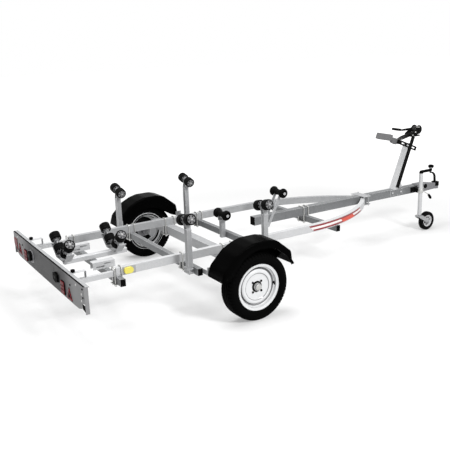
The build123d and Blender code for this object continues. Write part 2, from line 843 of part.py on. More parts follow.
# Lamps and reflectors on the board's rear face: a red lamp and a black one on each side, and a
# triangle outside them
lamp_rows = (  # name, two bodies: distance to the left, height of the middle, width, height, depth
    ("tail_lamps", ((510.0, 383.0, 90.0, 94.0, 10.0), (-415.0, 382.0, 70.0, 94.0, 10.0))),
    ("plate_lamps", ((365.0, 415.0, 90.0, 90.0, lamp_depth), (-275.0, 425.0, 90.0, 70.0, 16.0))),
)
for name, bodies in lamp_rows:
    with BuildPart() as lamps:
        for lamp_y, lamp_z, width, height, depth in bodies:
            with BuildSketch(across) as lamp:
                with Locations((lamp_y, lamp_z)):
                    RectangleRounded(width, height, 0.12 * width)
            extrude(lamp.sketch, amount=-depth)
    save(lamps, name)

triangle_side = 105.0
triangle_t = 5.0
triangle_rows = (  # distance to the left, height of the lower edge
    (690.0, 352.0),
    (-550.0, 330.0),
)
with BuildPart() as triangles:
    for triangle_y, base_z in triangle_rows:
        with BuildSketch(across) as triangle:
            with BuildLine():
                Polyline(
                    (triangle_y - triangle_side / 2, base_z),
                    (triangle_y + triangle_side / 2, base_z),
                    (triangle_y, base_z + triangle_side * sqrt(3) / 2),
                    close=True,
                )
            make_face()
        extrude(triangle.sketch, amount=-triangle_t)
save(triangles, "triangle_reflectors")

# Amber side marker on a plate at each rail's rear end
with BuildPart() as markers:
    for side in (1, -1):
        marker_plane = Plane(
            origin=(axle_x + marker_x, side * (rail_face_y + marker_plate_t), deck_z + rail_h / 2),
            x_dir=(1, 0, 0), z_dir=(0, side, 0),
        )
        with BuildSketch(marker_plane):
            RectangleRounded(marker_w, marker_h, 0.45 * marker_h)
        extrude(amount=marker_t)
save(markers, "side_markers")

# U-bolts that tie the rails and the drawbar down to the crossmembers
bolt_r = 5.0
u_bolt_rows = (  # station, middle of the tube it straddles, that tube's width, that tube's top, depth below
    (cross_rear_x, rail_y, rail_w, rail_top, cross_h),
    (cross_mid_x, rail_y, rail_w, rail_top, cross_h),
    (cross_front_x, rail_y, rail_w, rail_top, cross_h),
    (axle_tube_x, rail_y, rail_w, rail_top, axle_tube),
)
with BuildPart() as u_bolts:
    for station, tube_y, tube_w, tube_top, depth in u_bolt_rows:
        under = deck_z - depth
        spread = (axle_tube if depth == axle_tube else cross_w) / 2 + bolt_r + 2
        for side in (1, -1):
            for way in (1, -1):
                leg_x = axle_x + station + way * spread
                near = side * tube_y - tube_w / 2 - bolt_r - 0.3
                far = side * tube_y + tube_w / 2 + bolt_r + 0.3
                if abs(station + way * spread - marker_x) < marker_plate_half:
                    near = near - marker_plate_t
                    far = far + marker_plate_t
                top = tube_top + bolt_r
                rod((leg_x, near, under - 14), (leg_x, near, top), bolt_r)
                rod((leg_x, far, under - 14), (leg_x, far, top), bolt_r)
                rod((leg_x, near - bolt_r, top), (leg_x, far + bolt_r, top), bolt_r)
            plate(
                (axle_x + station - spread - 12, side * tube_y - tube_w / 2 - 22, under - 6),
                (axle_x + station + spread + 12, side * tube_y + tube_w / 2 + 22, under),
            )
    spread = cross_w / 2 + bolt_r + 2
    for way in (1, -1):
        leg_x = axle_x + cross_nose_x + way * spread
        leg_y = drawbar_side + bolt_r + 0.3
        top = drawbar_top + bolt_r
        for side in (1, -1):
            rod((leg_x, side * leg_y, deck_z - cross_h - 14), (leg_x, side * leg_y, top), bolt_r)
        rod((leg_x, -leg_y - bolt_r, top), (leg_x, leg_y + bolt_r, top), bolt_r)
    plate(
        (axle_x + cross_nose_x - spread - 12, -drawbar_side - 22, deck_z - cross_h - 6),
        (axle_x + cross_nose_x + spread + 12, drawbar_side + 22, deck_z - cross_h),
    )
save(u_bolts, "u_bolts")

# Clamp plates: behind each side post, over the rails' tips at the nose, and under the side markers
clamp_t = 6.0
nose_half = 46.0
tip_cos = 1 - (rail_face_y - drawbar_side) / bend_radius
nose_x = axle_x + bend_start + bend_radius * sqrt(1 - tip_cos**2) - nose_half / 2
with BuildPart() as clamp_plates:
    for name, station, side in post_rows:
        clamp_x = axle_x + station - cross_w / 2 - post_w
        clamp_half = post_w / 2 + 22
        plate(
            (clamp_x - clamp_t, side * post_y - clamp_half, cross_z - 24),
            (clamp_x, side * post_y + clamp_half, cross_z + 24),
        )
        for bolt_y in (-post_w / 2 - 8, post_w / 2 + 8):
            for bolt_z in (-14, 14):
                rod(
                    (clamp_x - clamp_t - 8, side * post_y + bolt_y, cross_z + bolt_z),
                    (axle_x + station - cross_w / 2, side * post_y + bolt_y, cross_z + bolt_z), 5,
                )
    for low in (deck_z - clamp_t, drawbar_top):
        plate(
            (nose_x - nose_half, -drawbar_side - 62, low),
            (nose_x + nose_half, drawbar_side + 62, low + clamp_t),
        )
    for side in (1, -1):
        bolt_y = side * (drawbar_side + 40)
        rod(
            (nose_x + nose_half - 10, bolt_y, deck_z - 20),
            (nose_x + nose_half - 10, bolt_y, drawbar_top + 16), bolt_r,
        )
        faces = sorted((side * rail_face_y, side * (rail_face_y + marker_plate_t)))
        plate(
            (axle_x + marker_x - marker_plate_half, faces[0], deck_z + 0.2),
            (axle_x + marker_x + marker_plate_half, faces[1], rail_top - 2),
        )
save(clamp_plates, "clamp_plates")

# Winch post: a leaning channel on a saddle, with a pierced bar beside it up to the winch
lean = radians(post_lean)
post_plane = Plane(
    origin=(axle_x + winch_post_x, 0, drawbar_top),
    x_dir=(cos(lean), 0, -sin(lean)),
    z_dir=(sin(lean), 0, cos(lean)),
)
with BuildPart() as winch_post:
    with BuildSketch(post_plane.offset(-40)):
        Rectangle(winch_post_d, winch_post_w)
        with Locations((4, 0)):
            Rectangle(winch_post_d, winch_post_w - 8, mode=Mode.SUBTRACT)
    extrude(amount=winch_post_l + 40)
    with BuildSketch(Plane(origin=(axle_x + winch_post_x, 0, 0), x_dir=(1, 0, 0), z_dir=(0, -1, 0))):
        with BuildLine():
            Polyline(
                (-14, drawbar_top), (132, drawbar_top), (118, drawbar_top + 30),
                (62, drawbar_top + 130), (34, drawbar_top + 130),
                close=True,
            )
        make_face()
    extrude(amount=2.5, both=True)
    with Locations((axle_x + winch_post_x, 0, drawbar_top - winch_post_w)):
        Box(5 * winch_post_w, 2 * winch_post_w, 2 * winch_post_w, mode=Mode.SUBTRACT)
    saddle_mid = axle_x + winch_post_x + 8
    for side in (1, -1):
        faces = sorted((side * drawbar_side, side * (drawbar_side + saddle_t)))
        plate(
            (saddle_mid - saddle_l / 2, faces[0], drawbar_top - saddle_h),
            (saddle_mid + saddle_l / 2, faces[1], drawbar_top),
        )
        for bolt_x in (-60, 60):
            rod(
                (saddle_mid + bolt_x, side * (drawbar_side + saddle_t), drawbar_top - 32),
                (saddle_mid + bolt_x, side * (drawbar_side + saddle_t + 8), drawbar_top - 32), 9,
            )
save(winch_post, "winch_post")

upright_plane = Plane(
    origin=post_plane.origin + Vector(0, -winch_post_w / 2 - upright_w / 2, 0),
    x_dir=post_plane.x_dir, z_dir=post_plane.z_dir,
)
upright_head = upright_plane.origin + post_plane.z_dir * upright_l
frame_low = upright_head.Z
drum_z = frame_low + drum_above
drum_at = Vector(upright_head.X + drum_ahead, 0, drum_z)
plate_y = drum_half + 6
with BuildPart() as winch_stand:
    with BuildSketch(upright_plane.offset(22)):
        Rectangle(winch_post_d - 5, upright_w)
    extrude(amount=upright_l - 22)
    hole_plane = Plane(origin=upright_plane.origin, x_dir=post_plane.z_dir, z_dir=(0, 1, 0))
    with BuildSketch(hole_plane.offset(-upright_w)):
        for step in range(8):
            with Locations((90 + 55 * step, 0)):
                Circle(6)
    extrude(amount=2 * upright_w, mode=Mode.SUBTRACT)

    for side in (1, -1):
        with BuildSketch(Plane(origin=(0, side * plate_y, 0), x_dir=(1, 0, 0), z_dir=(0, -1, 0))):
            with BuildLine():
                Polyline(
                    (upright_head.X - 30, frame_low + 1),
                    (upright_head.X + 96, frame_low + 1),
                    (upright_head.X + 96, frame_low + 50),
                    (drum_at.X + 24, drum_z + 24),
                    (drum_at.X - 24, drum_z + 24),
                    (upright_head.X - 30, frame_low + 30),
                    close=True,
                )
            make_face()
            with Locations((drum_at.X, drum_z)):
                Circle(9 + 0.4, mode=Mode.SUBTRACT)
        extrude(amount=-side * winch_plate_t)
    plate(
        (upright_head.X - 30, -plate_y - 22, frame_low + 0.2),
        (upright_head.X + 96, plate_y + winch_plate_t, frame_low + 0.2 + winch_plate_t),
    )
save(winch_stand, "winch_stand")

# Winch drum with its flanges, shaft and crank
with BuildPart() as winch_drum:
    for low, high, radius in (
        (-drum_half, drum_half, drum_r),
        (-drum_half, -drum_half + drum_flange_t, drum_flange_r),
        (drum_half - drum_flange_t, drum_half, drum_flange_r),
        (-plate_y - winch_plate_t - 8, plate_y + winch_plate_t + 26, 9),
    ):
        rod((drum_at.X, low, drum_z), (drum_at.X, high, drum_z), radius)
    crank_y = plate_y + winch_plate_t + 14
    with BuildSketch(Plane(origin=(drum_at.X, crank_y, drum_z), x_dir=(1, 0, 0), z_dir=(0, 1, 0))):
        Circle(14)
        with Locations((-crank_l, 0)):
            Circle(9)
        make_hull()
    extrude(amount=6)
    rod(
        (drum_at.X - crank_l, crank_y + 6, drum_z),
        (drum_at.X - crank_l, crank_y + 20, drum_z), 6,
    )
    rod(
        (drum_at.X - crank_l, crank_y + 20, drum_z),
        (drum_at.X - crank_l, crank_y + 135, drum_z), 13,
    )
save(winch_drum, "winch_drum")

# Bow stop: a slotted arm square to the post, a clamp block, a stem and a cross pad
stop_plane = Plane(
    origin=post_plane.origin + post_plane.z_dir * (winch_post_l - stop_drop),
    x_dir=-post_plane.x_dir, z_dir=(0, 1, 0),
)  # X runs back along the arm
arm_front_end = -winch_post_d / 2 - 62
with BuildPart() as stop_arm:
    arm_y = -winch_post_w / 2 - upright_w
    with BuildSketch(stop_plane.offset(arm_y)):
        with Locations((arm_front_end + stop_arm_l / 2, 0)):
            Rectangle(stop_arm_l, stop_arm_h)
            with GridLocations(80, 0, 3, 1):
                SlotOverall(48, 14, mode=Mode.SUBTRACT)
    extrude(amount=-5)
    arm_back = arm_front_end + stop_arm_l
    with BuildSketch(stop_plane.offset(arm_y - 5)):
        with Locations((arm_back - 3, 0)):
            Rectangle(6, stop_arm_h)
    extrude(amount=-arm_y + 5 + 20)
save(stop_arm, "bow_stop_arm")

with BuildPart() as stop_block:
    stem_plane = Plane(origin=stop_plane.origin, x_dir=(0, 1, 0), z_dir=stop_plane.x_dir)
    with BuildSketch(stem_plane.offset(arm_back)):
        Rectangle(40, 62)
    extrude(amount=66, taper=4)
    with BuildSketch(stem_plane.offset(arm_back + 66)):
        Circle(13)
    extrude(amount=96)
    with BuildSketch(stem_plane.offset(arm_back + 162)):
        RectangleRounded(200, 62, 8)
    extrude(amount=30)
save(stop_block, "bow_stop")

# Winch strap: pulled taut from the drum's rear to the bow stop arm's end
strap_w = 45.0
strap_thick = 2.0
strap_foot = stop_plane.origin + stop_plane.x_dir * (arm_back - 20) + post_plane.z_dir * (stop_arm_h / 2 + 2)
drum_top = Vector(drum_at.X, 0, drum_z)
run = drum_top - strap_foot
strap_angle = acos((drum_r + 1.5) / run.length)
strap_dir = run.normalized()
strap_normal = Vector(-strap_dir.Z, 0, strap_dir.X)
contact = drum_top + (strap_normal * sin(strap_angle) * -1 - strap_dir * cos(strap_angle)) * (drum_r + 1.5)
with BuildPart() as strap:
    strap_plane = Plane(origin=strap_foot, x_dir=(0, 1, 0), z_dir=contact - strap_foot)
    with BuildSketch(strap_plane):
        Rectangle(strap_w, strap_thick)
    extrude(amount=(contact - strap_foot).length)
save(strap, "winch_strap")

# Coupling: a sleeve over the drawbar, a neck and a round head with its ball socket below
sleeve_mid_z = deck_z + drawbar_h / 2
sleeve_in_w = drawbar_w + 0.4
sleeve_in_h = drawbar_h + 0.4
with BuildPart() as coupling:
    with BuildSketch(Plane(origin=(axle_x + sleeve_rear, 0, sleeve_mid_z), x_dir=(0, 1, 0), z_dir=(1, 0, 0))):
        Rectangle(sleeve_in_w + 2 * sleeve_wall, sleeve_in_h + 2 * sleeve_wall)
        Rectangle(sleeve_in_w, sleeve_in_h, mode=Mode.SUBTRACT)
    extrude(amount=drawbar_front - sleeve_rear + 0.2)
    neck = Plane(origin=(axle_x + drawbar_front + 0.2, 0, sleeve_mid_z), x_dir=(0, 1, 0), z_dir=(1, 0, 0))
    neck_end = socket_x - drawbar_front - head_r * 0.6
    with BuildSketch(neck):
        Rectangle(sleeve_in_w + 2 * sleeve_wall, sleeve_in_h + 2 * sleeve_wall)
    with BuildSketch(neck.offset(neck_end)):
        with Locations((0, head_z + 34 - sleeve_mid_z)):
            Rectangle(56, 60)
    loft()
    with BuildSketch(Plane.XY.offset(head_z)):
        with Locations((axle_x + socket_x, 0)):
            Circle(head_r)
    extrude(amount=72)
    with BuildSketch(Plane.XY.offset(head_z)):
        with Locations((axle_x + socket_x, 0)):
            Circle(socket_r)
    extrude(amount=socket_depth, mode=Mode.SUBTRACT)
save(coupling, "coupling_head")

with BuildPart() as coupling_lever:
    with BuildSketch(Plane(origin=(axle_x, 0, 0), x_dir=(1, 0, 0), z_dir=(0, -1, 0))) as lever:
        with BuildLine() as lever_line:
            lever_up = Line((socket_x - 8, head_z + 72.2), (socket_x - 14, head_z + 128))
            TangentArc((lever_up @ 1), (socket_x - 86, head_z + 186), tangent=lever_up % 1)
        trace(line_width=14)
    extrude(amount=11, both=True)
    with Locations((axle_x + socket_x, 0, head_z + 66)):
        Box(160, 90, 12.2, mode=Mode.SUBTRACT)
save(coupling_lever, "coupling_lever")

# Jockey wheel: clamp, outer tube with its crank, leg, fork and wheel
clamp_z = deck_z + 36
collar_out = jockey_tube_r + clamp_gap + 9
with BuildPart() as jockey_clamp:
    with BuildSketch(Plane.XY.offset(clamp_z - clamp_h / 2)):
        with Locations((axle_x + jockey_x, jockey_y)):
            Circle(collar_out)
        with Locations((axle_x + jockey_x, (jockey_y - drawbar_side) / 2)):
            Rectangle(54, -jockey_y - drawbar_side)
        foot_front = sleeve_rear - jockey_x - 1
        with Locations((axle_x + jockey_x + foot_front - 55, -drawbar_side - 4)):
            Rectangle(110, 8)
        with Locations((axle_x + jockey_x, jockey_y)):
            Circle(jockey_tube_r + clamp_gap, mode=Mode.SUBTRACT)
    extrude(amount=clamp_h)
    lever_at = (axle_x + jockey_x + collar_out - 0.5, jockey_y - 6, clamp_z - 4)
    knee = (axle_x + jockey_x + 119, jockey_y - 6, clamp_z - 55)
    tip = (axle_x + jockey_x + 160, jockey_y - 6, clamp_z - 108)
    rod(lever_at, knee, 4.5)
    rod(knee, tip, 12)
save(jockey_clamp, "jockey_clamp")

with BuildPart() as outer_tube:
    with BuildSketch(Plane.XY.offset(jockey_tube_foot)):
        with Locations((axle_x + jockey_x, jockey_y)):
            Circle(jockey_tube_r)
            Circle(jockey_tube_r - jockey_tube_wall, mode=Mode.SUBTRACT)
    extrude(amount=jockey_tube_top - jockey_tube_foot)
    rod(
        (axle_x + jockey_x, jockey_y, jockey_tube_top - 6),
        (axle_x + jockey_x, jockey_y, jockey_tube_top + 4), jockey_tube_r,
    )
    rod(
        (axle_x + jockey_x, jockey_y, jockey_tube_top),
        (axle_x + jockey_x, jockey_y, jockey_tube_top + 16), 10,
    )
    with BuildSketch(Plane.XY.offset(jockey_tube_top + 4)):
        with Locations((axle_x + jockey_x, jockey_y)):
            Circle(13)
        with Locations((axle_x + jockey_x + jockey_crank, jockey_y)):
            Circle(8)
        make_hull()
    extrude(amount=9)
    rod(
        (axle_x + jockey_x + jockey_crank, jockey_y, jockey_tube_top + 13),
        (axle_x + jockey_x + jockey_crank, jockey_y, jockey_tube_top + 34), 8,
    )
    rod(
        (axle_x + jockey_x + jockey_crank, jockey_y, jockey_tube_top + 34),
        (axle_x + jockey_x + jockey_crank, jockey_y, jockey_tube_top + 54), 25,
    )
save(outer_tube, "jockey_tube")

with BuildPart() as leg:
    with BuildSketch(Plane.XY.offset(leg_foot)):
        with Locations((axle_x + jockey_x, jockey_y)):
            Circle(leg_r)
            Circle(leg_r - 3, mode=Mode.SUBTRACT)
    extrude(amount=jockey_tube_top - 60 - leg_foot)
    rod(
        (axle_x + jockey_x, jockey_y, leg_foot),
        (axle_x + jockey_x, jockey_y, leg_foot + 8), leg_r,
    )
    rod(
        (axle_x + jockey_x, jockey_y, leg_foot - 22),
        (axle_x + jockey_x, jockey_y, leg_foot), 7,
    )
save(leg, "jockey_leg")

fork_half = jockey_wheel_w / 2 + 6
fork_top = leg_foot - 1
with BuildPart() as fork:
    plate(
        (axle_x + jockey_x - 26, jockey_y - fork_half - fork_t, fork_top - 16),
        (axle_x + jockey_x + 20, jockey_y + fork_half + fork_t, fork_top),
    )
    for way in (1, -1):
        with BuildSketch(
            Plane(origin=(axle_x, jockey_y + way * fork_half, 0), x_dir=(1, 0, 0), z_dir=(0, -1, 0))
        ):
            with BuildLine():
                Polyline(
                    (jockey_x - 22, fork_top - 3),
                    (jockey_x + 26, fork_top - 3),
                    (jockey_x + jockey_trail + 12, jockey_wheel_r + 12),
                    (jockey_x + jockey_trail + 16, jockey_wheel_r),
                    (jockey_x + jockey_trail + 8, jockey_wheel_r - 14),
                    (jockey_x + jockey_trail - 8, jockey_wheel_r - 15),
                    (jockey_x - 22, fork_top - 22),
                    close=True,
                )
            make_face()
        extrude(amount=-way * fork_t)
    rod(
        (axle_x + jockey_x + jockey_trail, jockey_y - fork_half - fork_t - 5, jockey_wheel_r),
        (axle_x + jockey_x + jockey_trail, jockey_y + fork_half + fork_t + 5, jockey_wheel_r),
        jockey_pin_r,
    )
    with Locations((axle_x + jockey_x, jockey_y, fork_top - 8)):
        Cylinder(7.4, 40, mode=Mode.SUBTRACT)
save(fork, "jockey_fork")

with BuildPart() as jockey_wheel:
    jockey_centre = (axle_x + jockey_x + jockey_trail, jockey_y, jockey_wheel_r)
    with BuildSketch(Plane(origin=jockey_centre, x_dir=(0, 1, 0), z_dir=(1, 0, 0))):
        with BuildLine():
            half = jockey_wheel_w / 2
            bore = jockey_pin_r + roller_clearance
            Polyline(
                (-half - 4, bore), (-half - 4, 17), (-8, 20), (-8, 50), (-half + 4, 58), (-half, 66),
                (-half, 84), (-half + 10, jockey_wheel_r), (half - 10, jockey_wheel_r), (half, 84),
                (half, 66), (half - 4, 58), (8, 50), (8, 20), (half + 4, 17), (half + 4, bore),
                close=True,
            )
        make_face()
    revolve(axis=Axis(jockey_centre, (0, 1, 0)))
save(jockey_wheel, "jockey_wheel")
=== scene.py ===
# %% [markdown]
# # A boat trailer, parked on its wheels
#
# This lesson dresses the CAD model of a small boat trailer. The CAD model is the frame of
# everything: each piece made here sits on a part of it and rides with the body that carries it.
# Blender adds what a modeller adds last: zinc with its spangle, moulded rubber, tread blocks,
# nuts and bolts, ribbed lenses and the striped sticker on the rail.

# %% Load the frame and measure it
import bpy
import bmesh
import json
from math import asin, atan2, cos, pi, radians, sin, sqrt
from mathutils import Matrix, Vector


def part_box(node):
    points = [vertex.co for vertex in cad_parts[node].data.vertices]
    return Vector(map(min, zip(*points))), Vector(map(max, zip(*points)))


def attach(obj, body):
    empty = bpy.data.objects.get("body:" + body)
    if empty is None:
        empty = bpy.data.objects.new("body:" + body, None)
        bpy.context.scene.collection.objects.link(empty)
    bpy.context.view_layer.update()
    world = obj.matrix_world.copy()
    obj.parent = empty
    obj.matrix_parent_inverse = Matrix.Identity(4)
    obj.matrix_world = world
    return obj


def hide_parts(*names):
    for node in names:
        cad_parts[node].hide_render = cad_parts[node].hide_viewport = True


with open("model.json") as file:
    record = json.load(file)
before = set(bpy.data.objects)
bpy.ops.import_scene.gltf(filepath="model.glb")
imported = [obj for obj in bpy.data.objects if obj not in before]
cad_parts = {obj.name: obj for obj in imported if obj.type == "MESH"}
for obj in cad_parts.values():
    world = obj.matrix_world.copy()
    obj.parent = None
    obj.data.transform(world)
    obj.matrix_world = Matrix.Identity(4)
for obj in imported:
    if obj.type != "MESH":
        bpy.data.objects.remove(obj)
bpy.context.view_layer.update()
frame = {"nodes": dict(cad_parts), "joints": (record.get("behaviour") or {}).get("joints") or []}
nodes = frame["nodes"]
SIDES = (("left", 1), ("right", -1))

# %% [markdown]
# ## The camera
#
# The camera stands behind the trailer's near rear corner, a little above it. Its place, its
# turn and its lens were worked out from points that can be found both in the picture and on
# the model, such as the tyre, the rails' ends and the coupling's tip.

# %% Set up the camera
CAMERA_PLACE = (-3.576, -4.9136, 2.0896)
CAMERA_HEADING = 58.393
CAMERA_PITCH = -15.739
CAMERA_ROLL = -1.951
FOCAL_SHARE = 668.02 / 450.0
SENSOR = 36.0

camera_data = bpy.data.cameras.new("camera")
camera_data.sensor_width = SENSOR
camera_data.lens = FOCAL_SHARE * SENSOR
camera_data.clip_end = 200.0
camera = bpy.data.objects.new("camera", camera_data)
bpy.context.scene.collection.objects.link(camera)

heading = radians(CAMERA_HEADING)
pitch = radians(CAMERA_PITCH)
forward = Vector((cos(pitch) * cos(heading), cos(pitch) * sin(heading), sin(pitch)))
level_right = Vector((sin(heading), -cos(heading), 0.0))
level_up = level_right.cross(forward)
roll = radians(CAMERA_ROLL)
camera_right = level_right * cos(roll) + level_up * sin(roll)
camera_up = level_up * cos(roll) - level_right * sin(roll)
turn = Matrix((camera_right, camera_up, -forward)).transposed()
camera.matrix_world = Matrix.Translation(CAMERA_PLACE) @ turn.to_4x4()
bpy.context.scene.camera = camera
print("lens in mm:", round(camera_data.lens, 2))

# %% [markdown]
# ## The studio
#
# Every node tree below is built with the same few helpers, which add a node with its settings
# and values, and link rows of nodes. Another gives the colour of a plain grey.

# %% Helpers for node trees


def add_node(tree, kind, settings=None, values=None):
    """Node of a kind in a tree, with its settings and its sockets' values."""
    node = tree.nodes.new("ShaderNode" + kind)
    for key, value in (settings or {}).items():
        setattr(node, key, value)
    for key, value in (values or {}).items():
        node.inputs[key].default_value = value
    return node


def add_math(tree, operation, values=None):
    """Math node of an operation, with its sockets' values."""
    return add_node(tree, "Math", {"operation": operation}, values)


def add_mix(tree, values=None, kind="RGBA"):
    """Mix node, of colours if nothing else is asked, with its sockets' values."""
    return add_node(tree, "Mix", {"data_type": kind}, values)


def grey(value):
    """Neutral colour of one value."""
    return (value, value, value, 1)


def wire(tree, *rows):
    """Links in a tree, each given as a node, its output, the next node and its input."""
    for source, output, target, socket in rows:
        tree.links.new(source.outputs[output], target.inputs[socket])


# %% [markdown]
# A product shot on white needs a plain fill from all round, one key to give the tubes a light
# and a dark side, and a floor that is white to the camera but still takes a shadow. The key
# stands off the trailer's right side, so that its shadow falls to the left. The world shows
# white to the camera and to reflections, and lights the object at a plain level.

# %% Light the studio
scene = bpy.context.scene
scene.view_settings.view_transform = "Standard"

FILL = 0.44
world = bpy.data.worlds.new("studio")
scene.world = world
world.use_nodes = True
world_tree = world.node_tree
world_tree.nodes.clear()


def white_to(tree):
    """Output that is 1 for rays from the camera, and for mirrored and transmitted ones."""
    path = add_node(tree, "LightPath")
    either = add_math(tree, "MAXIMUM")
    any_of = add_math(tree, "MAXIMUM")
    wire(
        tree, (path, "Is Camera Ray", either, 0), (path, "Is Glossy Ray", either, 1),
        (either, 0, any_of, 0), (path, "Is Transmission Ray", any_of, 1),
    )
    return any_of.outputs[0]


fill, white = [
    add_node(world_tree, "Background", values={"Color": grey(1.0), "Strength": strength})
    for strength in (FILL, 1.0)
]
world_mix = add_node(world_tree, "MixShader")
world_out = add_node(world_tree, "OutputWorld")
world_tree.links.new(white_to(world_tree), world_mix.inputs["Fac"])
wire(
    world_tree, (fill, 0, world_mix, 1), (white, 0, world_mix, 2),
    (world_mix, 0, world_out, "Surface"),
)


def area_lamp(name, place, aim, size, power):
    """Soft square lamp at a place, turned to look at a point."""
    lamp = bpy.data.lights.new(name, "AREA")
    lamp.shape = "SQUARE"
    lamp.size = size
    lamp.energy = power
    piece = bpy.data.objects.new(name, lamp)
    scene.collection.objects.link(piece)
    piece.location = place
    piece.rotation_euler = (Vector(aim) - Vector(place)).to_track_quat("-Z", "Y").to_euler()
    return piece


area_lamp("key_lamp", (0.4, -6.6, 4.9), aim=(0.0, 0.0, 0.3), size=1.5, power=420.0)
area_lamp("top_lamp", (-1.6, 0.6, 6.8), aim=(0.2, 0.0, 0.3), size=4.5, power=420.0)

# %% [markdown]
# The floor is a wide plane that is white to the camera. Its material adds a plain diffuse
# surface to light of its own, so that the trailer's shadow still shows as a soft grey. Away
# from the trailer its own light rises to full white, so the floor has no visible end.

# %% Lay the floor
FLOOR_HALF = 40.0
FLOOR_GLOW = 0.30
FLOOR_GREY = 0.56
SHADOW_REACH = (2.6, 6.0)

floor_mesh = bpy.data.meshes.new("floor")
floor_mesh.from_pydata(
    [(-FLOOR_HALF, -FLOOR_HALF, 0), (FLOOR_HALF, -FLOOR_HALF, 0),
     (FLOOR_HALF, FLOOR_HALF, 0), (-FLOOR_HALF, FLOOR_HALF, 0)],
    [], [(0, 1, 2, 3)],
)
floor = bpy.data.objects.new("floor", floor_mesh)
scene.collection.objects.link(floor)
floor_paint = bpy.data.materials.new("floor_white")
floor_paint.use_nodes = True
tree = floor_paint.node_tree
tree.nodes.clear()
floor_diffuse = add_node(tree, "BsdfDiffuse", values={"Color": grey(FLOOR_GREY)})
floor_white = add_node(tree, "Emission")
floor_place = add_node(tree, "TexCoord")
floor_reach = add_node(tree, "VectorMath", {"operation": "LENGTH"})
floor_level = add_node(
    tree, "MapRange", {"interpolation_type": "SMOOTHSTEP"},
    {"From Min": SHADOW_REACH[0], "From Max": SHADOW_REACH[1], "To Min": FLOOR_GLOW,
     "To Max": 1.0},
)
floor_seen = add_math(tree, "MULTIPLY")
floor_add = add_node(tree, "AddShader")
floor_out = add_node(tree, "OutputMaterial")
tree.links.new(white_to(tree), floor_seen.inputs[0])
wire(
    tree, (floor_place, "Object", floor_reach, 0), (floor_reach, "Value", floor_level, "Value"),
    (floor_level, 0, floor_seen, 1), (floor_seen, 0, floor_white, "Strength"),
    (floor_diffuse, 0, floor_add, 0), (floor_white, 0, floor_add, 1),
    (floor_add, 0, floor_out, "Surface"),
)
floor_mesh.materials.append(floor_paint)
print("floor laid, half width:", FLOOR_HALF)

# %% [markdown]
# ## Shader groups
#
# A node group is a small effect with named inputs and outputs. The groups here give only
# colours, masks and values; each material then feeds them to its own Principled BSDF. Object
# coordinates are in metres here, so every size below is a real one.

# %% A helper that starts a group


def start_group(name, inputs, outputs):
    """New shader group with its named sockets, its input node and its output node."""
    group = bpy.data.node_groups.new(name, "ShaderNodeTree")
    for label, kind, value in inputs:
        socket = group.interface.new_socket(name=label, in_out="INPUT", socket_type=kind)
        socket.default_value = value
    for label, kind in outputs:
        group.interface.new_socket(name=label, in_out="OUTPUT", socket_type=kind)
    return group, group.nodes.new("NodeGroupInput"), group.nodes.new("NodeGroupOutput")


FLOAT = "NodeSocketFloat"
COLOUR = "NodeSocketColor"

# %% [markdown]
# **Zinc.** Hot-dip galvanising leaves flat crystals a few millimetres across, each with its own
# grey, and faint runs where the zinc drained. A Voronoi pattern gives each crystal one grey, and
# a slow noise gives the runs. Both stay weak, because new zinc looks nearly even from afar.

# %% Zinc group
zinc_group, zinc_in, zinc_out = start_group(
    "zinc_skin",
    [("Light", COLOUR, (0.7, 0.71, 0.72, 1)), ("Dark", COLOUR, (0.5, 0.51, 0.53, 1)),
     ("Crystal Scale", FLOAT, 160.0), ("Run Scale", FLOAT, 9.0),
     ("Rough Low", FLOAT, 0.28), ("Rough High", FLOAT, 0.5)],
    [("Color", COLOUR), ("Roughness", FLOAT), ("Height", FLOAT)],
)
place = add_node(zinc_group, "TexCoord")
crystals = add_node(zinc_group, "TexVoronoi", {"feature": "F1"})
runs = add_node(zinc_group, "TexNoise", values={"Detail": 5.0, "Roughness": 0.6})
crystal_grey = add_node(zinc_group, "RGBToBW")
share = add_mix(zinc_group, {0: 0.62}, "FLOAT")
shade = add_mix(zinc_group)
rough = add_node(zinc_group, "MapRange")
wire(
    zinc_group, (place, "Object", crystals, "Vector"), (place, "Object", runs, "Vector"),
    (zinc_in, "Crystal Scale", crystals, "Scale"), (zinc_in, "Run Scale", runs, "Scale"),
    (crystals, "Color", crystal_grey, 0), (crystal_grey, 0, share, 2), (runs, "Fac", share, 3),
    (share, 0, shade, 0), (zinc_in, "Dark", shade, 6), (zinc_in, "Light", shade, 7),
    (shade, 2, zinc_out, "Color"), (share, 0, rough, "Value"),
    (zinc_in, "Rough High", rough, "To Min"), (zinc_in, "Rough Low", rough, "To Max"),
    (rough, 0, zinc_out, "Roughness"), (share, 0, zinc_out, "Height"),
)
print("group:", zinc_group.name, len(zinc_group.nodes), "nodes")

# %% [markdown]
# **Grain.** Moulded plastic, rubber and paint all have a fine skin: a little mottling in the
# colour and a small unevenness to the touch. One noise group with two tones serves them all.

